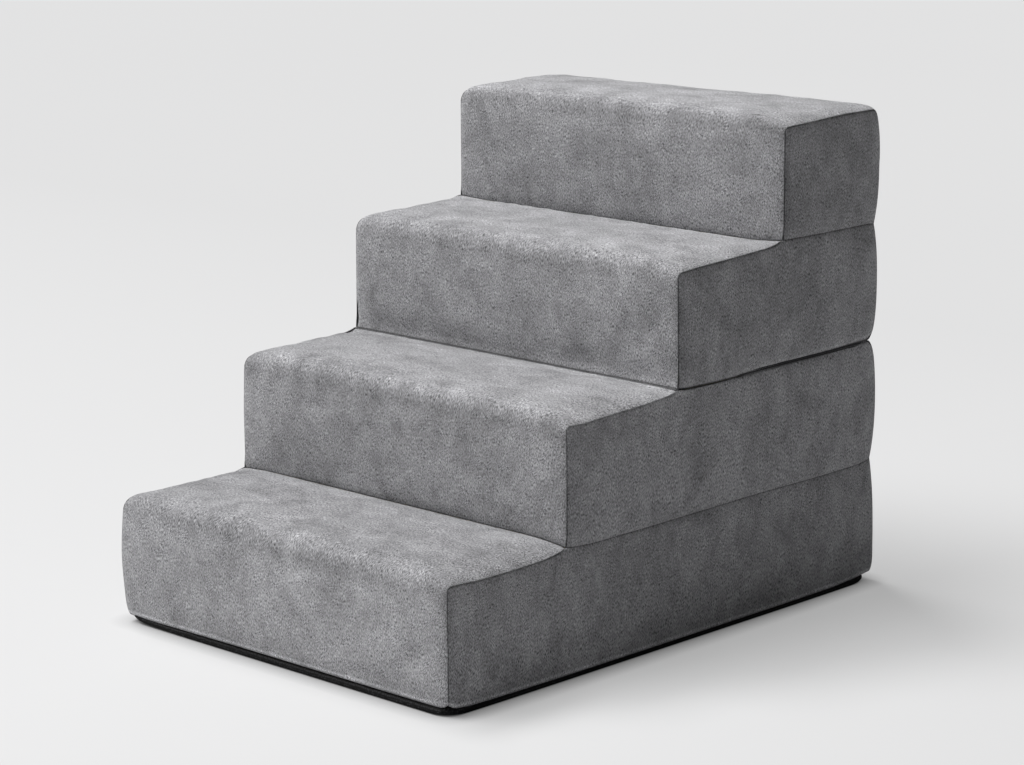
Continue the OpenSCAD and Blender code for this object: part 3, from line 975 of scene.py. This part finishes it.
def startPanel(name, seed, sizes, steps, surface, way):
    # a panel as the cloth left it, with soft unevenness of the filling, none at the seams
    a, b = (spacedShares(size, plush[step], plush["fine"]) for size, step in zip(sizes, steps))
    base = surface(a, b)
    normals = way * gridNormals(base)
    shift = settled(name, a, b) + 0 * base
    out = (shift * normals).sum(-1)
    grid = base + shift + normals * (np.maximum(out, -cloth["capIn"]) - out)[..., None]
    for wavelength, height, index in plush["waves"]:
        hold = edgeHold(a * sizes[0], b * sizes[1])
        lifted = softWaves(grid, wavelength, seed * 10 + index) * height * hold
        grid += normals * lifted[..., None]
    return a, b, base, normals, grid


def dressPanel(kind, k, grid, normals, weave, tone, flip):
    # slouch and close one panel of plush, attach it to its half and hide the built part it stands for
    name, node = kind[0] + f"_{k + 1}", kind[1] + f"_{k + 1}"
    grid = slouched(grid)
    inner = grid - normals * plush["thick"]
    obj = addPanel(name, grid, inner, weave, tone, halfOf(k), looks["plush"], flip)
    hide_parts(node)


def lift(k, away, corner):
    # the lowest edge of the cover is drawn up where two seams meet it
    beside, above = plush["notchReach"]
    return (k == 0) * plush["notch"] * easeOut(corner / beside) * easeOut(away / above)


def foldRoom(distance):
    # both covers give way beside the hinge, but not at its seam
    seam = easeOut(distance / plush["foldSeam"])
    return plush["foldRoom"] * easeOut(distance / plush["foldReach"]) * (1 - seam)


def coverPulls(k):
    # how the lower and the rear edge of a cover are drawn in
    pull, crease = plush["pull"], plush["creasePull"]
    lower = unit(y=crease, z=-0.5 * crease)
    if k == 0:
        lower = unit(y=0.5 * pull)
    elif k == split:
        lower = unit(y=0.8 * crease, z=plush["splitLift"])
    return lower, unit(y=-pull) if k == topStep else unit(y=0.4 * crease, z=-0.6 * crease)


def addCover(k):
    length, mid = pathLength(k), midNosing(k)
    s, across, base, normals, grid = startPanel(
        f"step{k}", k, (length, 2 * seamX), ("step", "acrossStep"),
        lambda s, t: coverSurface(k, s, 2 * t - 1), -1)
    u, down, over = 2 * across - 1, s * length, across * 2 * seamX
    x, away, ahead = base[..., 0], down[:, None], (length - down)[:, None]
    beside = fromEnds(over)[None, :]
    inside = 1 - np.abs(u) ** 8
    gathers = 0 * x
    if k > 0:
        strength = 1 + (plush["topRipple"] * np.clip(2 * u, 0, 1) if k == topStep else 0)
        gathers = gathers + ripples(x, away, 70 + k) * inside * strength
    if k < topStep:
        gathers = gathers + plush["treadRipple"] * ripples(x, ahead, 80 + k) * inside
    fold = softWaves(base[..., :1], plush["nosingLength"], 50 + k, 12)
    fold = fold * hump(away, mid, plush["nosingReach"])
    grid += normals * (gathers + plush["nosingWave"] * fold * inside)[..., None]
    pullSide = plush["pullSide"] * np.sign(u)[None, :, None] * unit(x=1)
    grid -= turned(beside)[..., None] * (plush["pull"] * normals + pullSide)
    grid[..., 2] += carried(k, base)
    lower, rear = coverPulls(k)
    grid += turned(away)[..., None] * lower + turned(ahead)[..., None] * rear
    if k == split:
        grid[..., 1] += foldRoom(away)
    elif k == split - 1:
        grid[..., 2] -= foldRoom(ahead)
    grid[..., 2] += lift(k, away, np.where(u > 0, beside, 1.0))
    # painted light and shade: dark seams and creases, a pale ridge beside the side seams, a pale lip at the
    # foot and painted tones per panel
    under = paintedPanelShading["nosingUnder"][k]
    tread = easeOut((mid - away - 0.5 * under) / paintedPanelShading["turn"] + 0.6)
    ridge, more = seams["coverRidge"]
    tone = np.maximum(paintedSeamShade(beside, ridge + more * tread, seams["coverWide"]), paintedCreaseShade(ahead))
    tone = np.where(k == 0, tone + lipTone(away), np.maximum(tone, paintedCreaseShade(away)))
    tone = tone + paintedPanelShading["riser"][k] + tread * (paintedPanelShading["tread"][k] - paintedPanelShading["riser"][k])
    tone = tone + paintedPanelShading["nosing"][k] * hump(away - mid, -under, paintedPanelShading["nosingWide"])
    tone = tone - paintedPanelShading["shoulder"] * hump(away - mid, paintedPanelShading["shoulderAt"], paintedPanelShading["shoulderWide"])
    weave = np.stack(np.broadcast_arrays(x, away + k * plush["pileShift"]["step"]), -1)
    dressPanel(("plush_step", "step_cover"), k, grid, normals, weave, tone, True)


def addSide(k, side):
    depthOf, height = rearY - faceY(k), panelHigh(k) - panelLow(k)
    a, b, base, normals, grid = startPanel(
        f"side{k}{side}", 10 + 2 * k + (side > 0), (depthOf, height), ("acrossStep", "step"),
        lambda a, b: sideSurface(k, side, a, b), side)
    down, over = a * depthOf, b * height
    upper = sideOutline(k, side, a, b)[3]
    r = nosingAt(float(side))
    mid, length = midNosing(k, side), pathLength(k, r)
    pull, fade, shift = plush["pull"], plush["edgeFade"], plush["pileShift"]

    def pathPull(distance):
        _, _, ny, nz = stepPath(k, np.minimum(distance, length), panelLow(k), r)
        return np.stack([0 * ny, -ny * pull, -nz * pull], -1)

    past, ahead = down[:, None], (down[-1] - down)[:, None]
    above, below = over[None, :], (over[-1] - over)[None, :]
    reach = mid + a * (length - mid + (0 if k == topStep else upper[-1, 0] - faceY(k + 1)))
    onEdge = 1.0 + 0 * reach if k == topStep else easeOut((reach - length + fade) / fade)
    onEdge = onEdge[:, None]
    topPull = (pathPull(reach) * onEdge)[:, None]
    grid += turned(past)[..., None] * pathPull(b * mid)[None] + turned(below)[..., None] * topPull
    grid -= turned(ahead)[..., None] * unit(y=pull)
    edges = np.maximum(np.maximum(turned(past, plush["sideTurn"]), turned(ahead)), turned(above))
    inward = np.maximum(edges, turned(below, plush["sideTurn"])) * plush["pullSide"]
    # the open edges of the two halves roll in, more towards the rear
    fromCrease = base[:, :1, 1] - creaseY
    rolledTo = plush["splitTo"] * (rearY - creaseY)
    opening = np.where(fromCrease > 0, easeOut(1 - fromCrease / rolledTo), 0)
    # painted light and shade: dark seams, a pale lip at the foot, shade under the rolled edges and painted
    # tones per panel
    tone = np.maximum(paintedSeamShade(past, *seams["sideFront"]), paintedSeamShade(ahead))
    shaded = onEdge * paintedSeamShade(below, wide=seams["sideTop"]) + (1 - onEdge) * paintedFaintSeamShade(below)
    tone = np.maximum(tone, shaded)
    if k in (split - 1, split):
        upperWide, opened = seams["split"]
        away = below if k == split - 1 else above
        rolled = turned(away, plush["splitTurn"])
        waveLength, waveHeight = plush["lipWave"]
        lipLift = np.clip(softWaves(base[..., 1:2], waveLength, 33 + k, 8) * waveHeight, 0, None)
        inward = np.maximum(inward, plush["splitPull"] * opening * rolled)
        parted = (plush["splitOpen"] * opening + lipLift) * rolled
        grid[..., 2] += parted if k == split else -parted
        if k == split:
            # a painted pale lip along the lower edge of the upper half where the halves open
            pale = seams["splitLip"] * opening * hump(away, seams["splitLipAt"], seams["splitLipWide"])
            tone = np.maximum(tone, paintedSeamShade(away, wide=upperWide)) - pale
        else:
            # painted shade along the split, wider where the lower half opens
            dark = paintedSeamShade(away, wide=1 + opened * opening)
            tone = np.maximum(tone, onEdge * tone + (1 - onEdge) * dark)
    elif k > 0:
        tone = np.maximum(tone, paintedFaintSeamShade(above))
    if k == split - 1:
        # a small tuft stands up beside the corner of the fold
        tuftAlong, tuftBelow = plush["tuftReach"]
        near = hump(base[..., 1], creaseY + plush["tuftAt"], tuftAlong) * turned(below, tuftBelow)
        inward -= plush["tuft"] * near
        # a painted highlight on the tuft, on the right side only
        tone = tone - seams["tuftLight"] * near * (side > 0)
    if k == 0:
        tone = tone + lipTone(above)
    shade = np.maximum(underEdge(past), underEdge(below) if k != split - 1 else 0)
    tone = tone + paintedPanelShading["side"][k] + shade
    grid[..., 0] -= side * inward
    grid[..., 2] += lift(k, above, past if side > 0 else 1 + past) + carried(k, base)
    weave = np.stack([base[..., 1] + shift["side"], base[..., 2] + shift["apart"] * side], -1)
    word = "right" if side > 0 else "left"
    dressPanel((f"plush_{word}", f"{word}_side"), k, grid, normals, weave, tone,
               side < 0)


def addRear(k):
    height = panelHigh(k) - panelLow(k)
    v, across, base, normals, grid = startPanel(
        f"rear{k}", 30 + k, (height, 2 * seamX), ("step", "acrossStep"),
        lambda v, t: rearSurface(k, v, 2 * t - 1, *rearEdges(k, 2 * t - 1)), 1)
    u, down, over = 2 * across - 1, v * height, across * 2 * seamX
    beside = fromEnds(over)[None, :]
    above, below = down[:, None], (down[-1] - down)[:, None]
    fromSide = turned(beside)[..., None]
    pullSide = plush["pullSide"] * np.sign(u)[None, :, None] * unit(x=1)
    grid -= fromSide * (plush["pull"] * unit(y=1) + pullSide)
    grid -= turned(np.minimum(above, below))[..., None] * (1 - fromSide) * unit(y=plush["pull"])
    grid[..., 2] += carried(k, base)
    # painted shade at the seams, a faint painted pale ridge beside the sides and a painted pale lip at the
    # foot
    tone = np.maximum(paintedSeamShade(beside, seams["rearRidge"]), paintedSeamShade(below))
    tone = np.where(k == 0, tone + lipTone(above), np.maximum(tone, paintedSeamShade(above)))
    weave = np.stack([base[..., 0] + plush["pileShift"]["rear"], base[..., 2]], -1)
    dressPanel(("plush_rear", "rear_panel"), k, grid, normals, weave, tone,
               False)


for k in range(stairs["steps"]):
    addCover(k)
    addRear(k)
    for side in (-1, 1):
        addSide(k, side)
print("stage: upholstery made")


# foam blocks inside the covers

foam = {
    "inset": 2.9 * mm,
    "round": 6 * mm,
    "zipRoom": 11 * mm,
    "zipReach": 13 * mm,
    "pathPoints": 76,
    "segments": 26,
    "across": 18,
    "arc": 5,
    "caps": (0.85, 0.6, 0.3),
    "capCrown": 2.4 * mm,
    "footLow": 2.5 * mm,
    "footInset": 16 * mm,
    "footBend": 4 * mm,
}
mirror = np.array([-1, 1, 1])


def foamRing(k, x, inset):
    # one closed outline of the block, at a place across
    u = x / seamX
    low = foam["footLow"] if k == 0 else panelLow(k) + inset
    top = panelHigh(k) - inset
    cover = coverSurface(k, np.linspace(0, 1, foam["pathPoints"]), np.array([u]), inset)[:, 0, 1:]
    cover[:, 1] = np.maximum(cover[:, 1], low)
    z = np.linspace(top, max(low, panelLow(k)), foam["segments"])
    room = foam["zipRoom"] * hump(z, lowZ(k if k % 2 else k + 1), foam["zipReach"])
    rear = np.stack([rearAt(k, z, u) - inset - room, z], 1)
    turn = foam["footInset"] if k == 0 else 0
    floorY = np.linspace(rear[-1, 0] - turn, cover[0, 0] + turn, foam["segments"])[1:-1]
    parts = [cover]
    if k < topStep:
        y = np.linspace(faceY(k + 1), rear[0, 0], foam["segments"] + 2)[1:-1]
        parts.append(np.stack([y, 0 * y + top], 1))
    outline = np.concatenate([*parts, rear, np.stack([floorY, 0 * floorY + low], 1)])
    bend = panelLow(0) + foam["footBend"]
    below = np.clip((bend - outline[:, 1]) / (bend - low), 0, 1) if k == 0 else 0
    narrow = 1 - np.sqrt(below) * foam["footInset"] / seamX
    return np.column_stack([x * narrow + 0 * outline[:, 0], outline])


def addFoam(k):
    inset, r = foam["inset"], foam["round"]
    endX = seamX - inset
    right = [(x, inset) for x in np.linspace(0, endX - r, foam["across"])[:-1]]
    for t in np.linspace(0, math.pi / 2, foam["arc"]):
        right.append((endX - r + r * math.sin(t), inset + r * (1 - math.cos(t))))
    rings = [foamRing(k, -x, i) for x, i in right[:0:-1]] + [foamRing(k, x, i) for x, i in right]
    caps = []
    for share in foam["caps"]:
        middle = rings[-1].mean(0)
        caps.append(middle + (rings[-1] - middle) * share + unit(x=foam["capCrown"] * (1 - share**4)))
    rings = [cap * mirror for cap in caps[::-1]] + rings + caps
    middle = rings[-1].mean(0)
    points = np.concatenate([*rings, [middle * mirror, middle]])
    points[:, 2] = np.maximum(points[:, 2] + carried(k, points), foam["footLow"])
    faces = ringFaces(len(rings), len(rings[0]))
    obj = addMesh(f"foam_core_{k + 1}", slouched(points), faces, halfOf(k), looks["foam"])
    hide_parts(f"foam_step_{k + 1}")


for k in range(stairs["steps"]):
    addFoam(k)
print("stage: foam made")


# the base: a shallow tray of non-slip fabric, its edge hidden under the lip of the plush

tray = {
    "profile": [  # inset from the seam lines, height and corner radius, from the floor up
        (60 * mm, 0, 10 * mm),
        (8.0 * mm, 0, 26 * mm),
        (4.0 * mm, 0.12 * mm, 24 * mm),
        (1.8 * mm, 0.6 * mm, 22 * mm),
        (1.0 * mm, 1.6 * mm, 19 * mm),
        (1.0 * mm, 3.2 * mm, 15 * mm),
        (1.7 * mm, 4.8 * mm, 12 * mm),
        (3.0 * mm, 6.4 * mm, 10 * mm),
        (4.2 * mm, 9.0 * mm, 9 * mm),
        (4.8 * mm, 13.0 * mm, 9 * mm),
    ],
    "thick": 1.1 * mm,
    "innerRadius": 2 * mm,
    "cornerUp": 2.6 * mm,
    "cornerReach": 50 * mm,
    "arc": 9,
    "cell": 9 * mm,
}


def trayRing(inset, z, r):
    # a rectangle with round corners and evenly spaced points
    halves = (seamX, (rearY - frontY) / 2)
    halfX, halfY = (half - inset for half in halves)
    turn = np.linspace(0, math.pi / 2, tray["arc"])
    points = []
    corners = ((1, 1), (-1, 1), (-1, -1), (1, -1))
    ways = ((-1, 0), (0, -1), (1, 0), (0, 1))
    for index, ((sx, sy), way) in enumerate(zip(corners, ways)):
        a = turn + index * math.pi / 2
        arc = np.stack([sx * (halfX - r) + r * np.cos(a), sy * (halfY - r) + r * np.sin(a)], 1)
        span = 2 * (halfX, halfY)[index % 2] - 2 * r
        steps = int(2 * halves[index % 2] / tray["cell"])
        points += [arc, arc[-1] + np.array(way) * np.linspace(0, span, steps + 1)[1:-1, None]]
    flat = np.concatenate(points)
    return pointsOf(flat[:, 0], flat[:, 1] + (frontY + rearY) / 2, z)


def addTray():
    thick, profile = tray["thick"], tray["profile"]
    rings = [trayRing(*row) for row in profile]
    for inset, z, r in profile[:0:-1]:
        rings.append(trayRing(inset + thick, max(z, thick), max(r - thick, tray["innerRadius"])))
    inset, _, r = profile[0]
    rings.append(trayRing(inset, thick, r))
    middle = unit(y=(frontY + rearY) / 2)
    points = slouched(np.concatenate([*rings, [middle, middle + unit(z=thick)]]))
    corner = np.clip(-points[:, 0] / seamX, 0, 1) ** 6
    corner = corner * np.exp(-(points[:, 1] - frontY) / tray["cornerReach"])
    points[:, 2] += tray["cornerUp"] * corner
    faces = ringFaces(len(rings), len(rings[0]), flip=True)
    obj = addMesh("base_tray", points, faces, "lower_half", looks["base"])
    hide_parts("base_panel")


addTray()
print("stage: base made")


# the two linings that face each other across the split

lining = {
    "thick": 1.0 * mm,
    "step": 8 * mm,
    "fine": [0, 1 * mm, 3 * mm],
    "sag": 0.7 * mm,
    "sagLength": 60 * mm,
    "corner": 9 * mm,
}


def addLining(name, node, body, upward):
    low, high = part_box(node)
    sizeX, sizeY = high.x - low.x, high.y - low.y
    down = sizeY * spacedShares(sizeY, lining["step"], lining["fine"])
    over = sizeX * spacedShares(sizeX, lining["step"], lining["fine"])
    y, r, way = low.y + down[:, None], lining["corner"], 1 if upward else -1
    past = np.clip(r - (high.y - y), 0, None)
    shrink = r - np.sqrt(np.clip(r**2 - past**2, 0, None))
    grid = pointsOf((low.x + over) * (1 - shrink / high.x), y, 0)
    raised = np.clip(softWaves(grid, lining["sagLength"], 90 + upward) * 0.5 + 0.5, 0, 1)
    grid[..., 2] = (high.z if upward else low.z) - way * lining["sag"] * edgeHold(down, over) * raised
    inner = grid - way * unit(z=lining["thick"])
    # painted seam shade, which the lining's material does not read
    tone = paintedSeamShade(seamDistance(down, over))
    obj = addPanel(name, grid, inner, grid[..., :2].copy(), tone, body, looks["lining"], upward)
    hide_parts(node)


addLining("lining_lid", "lid_lining", "lower_half", True)
addLining("lining_underside", "underside_lining", "upper_half", False)


# the sewn fold along the crease

foldSeam = {
    "reach": 2.4 * mm,
    "inner": 0.55,
    "centre": 0.4,
    "thick": 0.9 * mm,
    "wobble": 0.15 * mm,
    "wobbleLength": 9 * mm,
    "columns": 120,
    "rows": 9,
    "tone": 0.9,
}


def addFoldSeam():
    low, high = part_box("fold_seam")
    across = np.linspace(low.x, high.x, foldSeam["columns"])
    turn = np.linspace(math.pi, math.pi / 2, foldSeam["rows"])[:, None]
    r = foldSeam["reach"]
    centre = r * foldSeam["centre"]
    wobble = foldSeam["wobble"] * softWaves(across[:, None], foldSeam["wobbleLength"], 5, 8)
    layers = []
    for radius in (r * foldSeam["inner"], r * foldSeam["inner"] + foldSeam["thick"]):
        reach = radius + wobble
        y, z = creaseY - centre + reach * np.sin(turn), splitZ + centre + reach * np.cos(turn)
        layers.append(pointsOf(across, y, z))
    weave = np.stack(np.broadcast_arrays(across[None, :], turn * r), -1)
    # painted shade: the fold's plush is darkened as if deep in the crease
    tone = foldSeam["tone"] + 0 * weave[..., 0]
    obj = addPanel("fold_strip", layers[0], layers[1], weave, tone, None, looks["plush"], True)
    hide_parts("fold_seam")
    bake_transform(obj)


addFoldSeam()
print("stage: fold and linings made")


# rows of stitches that hold the rear panels to the zip tapes

stitch = {
    "long": 2.6 * mm,
    "pitch": 3.6 * mm,
    "radius": 0.32 * mm,
    "beside": 2.2 * mm,
    "sink": 0.1 * mm,
    "endRoom": 4 * mm,
    "sides": 6,
    "profile": ((-0.5, 0.35, -0.3), (-0.3, 1, 0.1), (0.3, 1, 0.1), (0.5, 0.35, -0.3)),  # along, size, dip
}


def addStitches(k):
    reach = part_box("lower_zip_tapes")[1].x - stitch["endRoom"]
    x = np.arange(-reach, reach, stitch["pitch"])
    low, high = rearEdges(k, x / seamX)
    z = low + stitch["beside"] if k % 2 else high - stitch["beside"]
    y = rearAt(k, z, x / seamX) - plush["pull"] * turned(stitch["beside"]) - stitch["sink"]
    n, r = stitch["sides"], stitch["radius"]
    turn = np.linspace(0, 2 * math.pi, n, endpoint=False)
    circle = np.stack([0 * turn, np.cos(turn), np.sin(turn)], 1)
    bands = len(stitch["profile"]) - 1
    points, faces = [], []
    for centre in np.stack([x, y, z], 1):
        start = len(points)
        for along, size, dip in stitch["profile"]:
            points += (centre + unit(x=along * stitch["long"], y=dip * r) + circle * size * r).tolist()
        for j in range(start, start + bands * n, n):
            faces += [(j + i, j + (i + 1) % n, j + n + (i + 1) % n, j + n + i) for i in range(n)]
        faces.append(tuple(start + i for i in reversed(range(n))))
        faces.append(tuple(start + bands * n + i for i in range(n)))
    obj = addMesh(f"stitches_{k + 1}", slouched(np.array(points)), faces, halfOf(k), looks["thread"])


for k in range(stairs["steps"]):
    addStitches(k)


# the zips keep their built shapes and get their finishes

zipFinishes = {"tapes": "tape", "teeth": "teeth", "stops": "metal", "slider": "metal", "pull": "metal"}
for node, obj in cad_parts.items():
    for ending, kind in zipFinishes.items():
        if node.endswith(ending):
            obj.data.materials.clear()
            obj.data.materials.append(looks[kind])
print("stage: zips finished")


# studio: a pale floor, one large soft key from the upper left and a weak fill

studio = {
    "reach": 40.0,
    "floor": (0.40, 0.40, 0.4035),
    "floorSeen": 0.21,
    "floorGlow": 0.406,
    "beside": (-0.1, 0.9, 1.02, 0.92),  # how the floor fades, from one place to another
    "behind": (-0.3, 1.3, 1.01, 0.905),
    "paintedContactShade": 0.022,
    "world": 0.045,
    "backdrop": 0.76,
    "key": {"azimuth": -50, "elevation": 58, "strength": 4.8, "angle": 42},
    "fill": {"azimuth": 100, "elevation": 14, "strength": 0.29, "angle": 90},
    "floorLight": {"azimuth": -104, "elevation": 61, "strength": 2.1, "angle": 18},
}


def addFloor():
    x, y = studio["reach"] * np.array([(-1, 1, 1, -1), (-1, -1, 1, 1)])
    material, tree, shader = newMaterial("studio floor", Specular_IOR_Level=0.1, Roughness=0.9)
    floor = addMesh("studio_floor", pointsOf(x, y, 0), [(0, 1, 2, 3)], material=material)
    place = addNode(tree, "ShaderNodeTexCoord").outputs["Object"]
    seen = addNode(tree, "ShaderNodeLightPath").outputs["Is Camera Ray"]
    spread = addNode(tree, "ShaderNodeSeparateXYZ", {0: place}).outputs
    beside, behind = (ramp(tree, spread[i], *studio[name]) for i, name in enumerate(("beside", "behind")))
    cloud = timesPlus(tree, noiseNode(tree, place, 0.4), 0.03, 0.985)
    cloud = product(tree, cloud, product(tree, beside, behind))
    # painted light: the floor glows where it is looked at, which lifts its shadows there, apart from the
    # contact, where ambient occlusion dims the glow as a painted contact shadow
    less = timesPlus(tree, seen, studio["floorSeen"] / studio["floor"][0] - 1, 1.0)
    colour = scaled(tree, studio["floor"], product(tree, cloud, less))
    tree.links.new(colour, shader.inputs["Base Color"])
    paintedContactShade = addNode(tree, "ShaderNodeAmbientOcclusion", {"Distance": studio["paintedContactShade"]}).outputs["AO"]
    shader.inputs["Emission Color"].default_value = (1, 1, 1, 1)
    glow = product(tree, seen, paintedContactShade, cloud, studio["floorGlow"])
    tree.links.new(glow, shader.inputs["Emission Strength"])
    return floor


def towards(azimuth, elevation):
    a, e = math.radians(azimuth), math.radians(elevation)
    return Vector((math.sin(a) * math.cos(e), -math.cos(a) * math.cos(e), math.sin(e)))


def addSun(name, azimuth, elevation, strength, angle):
    light = bpy.data.lights.new(name, "SUN")
    light.energy = strength
    light.angle = math.radians(angle)
    obj = addObject(name, light)
    obj.rotation_euler = (-towards(azimuth, elevation)).to_track_quat("-Z", "Y").to_euler()
    return obj


def addWorld():
    world = bpy.data.worlds.new("studio")
    bpy.context.scene.world = world
    world.use_nodes = True
    tree = world.node_tree
    background = tree.nodes["Background"]
    background.inputs["Color"].default_value = (1, 1, 1, 1)
    seen = addNode(tree, "ShaderNodeLightPath").outputs["Is Camera Ray"]
    more = studio["backdrop"] - studio["world"]
    brightness = timesPlus(tree, seen, more, studio["world"])
    tree.links.new(brightness, background.inputs["Strength"])


floor = addFloor()
addSun("key_light", **studio["key"])
addSun("fill_light", **studio["fill"])
# a second soft light for the floor alone, for the shade beside the stairs
lit = bpy.data.collections.new("lit_by_floor_light")
lit.objects.link(floor)
addSun("floor_light", **studio["floorLight"]).light_linking.receiver_collection = lit
addWorld()
bpy.context.scene.view_settings.view_transform = "Standard"

camera = {
    "place": (1.90291, -1.97309, 0.81262),
    "lens": 109.502,
    "sensor": 36,
    "azimuth": 43.862,
    "elevation": 12.509,
    "roll": -0.361,
    "clip": (0.05, 100),
}


def addCamera():
    data = bpy.data.cameras.new("camera")
    data.lens, data.sensor_width = camera["lens"], camera["sensor"]
    data.clip_start, data.clip_end = camera["clip"]
    a, roll = math.radians(camera["azimuth"]), math.radians(camera["roll"])
    back = towards(camera["azimuth"], camera["elevation"])
    level = Vector((math.cos(a), math.sin(a), 0))
    right = level * math.cos(roll) + back.cross(level) * math.sin(roll)
    turn = Matrix((right, back.cross(right), back)).transposed()
    obj = addObject("camera", data)
    obj.matrix_world = Matrix.Translation(camera["place"]) @ turn.to_4x4()
    bpy.context.scene.camera = obj


addCamera()

print("stage: studio and camera made")
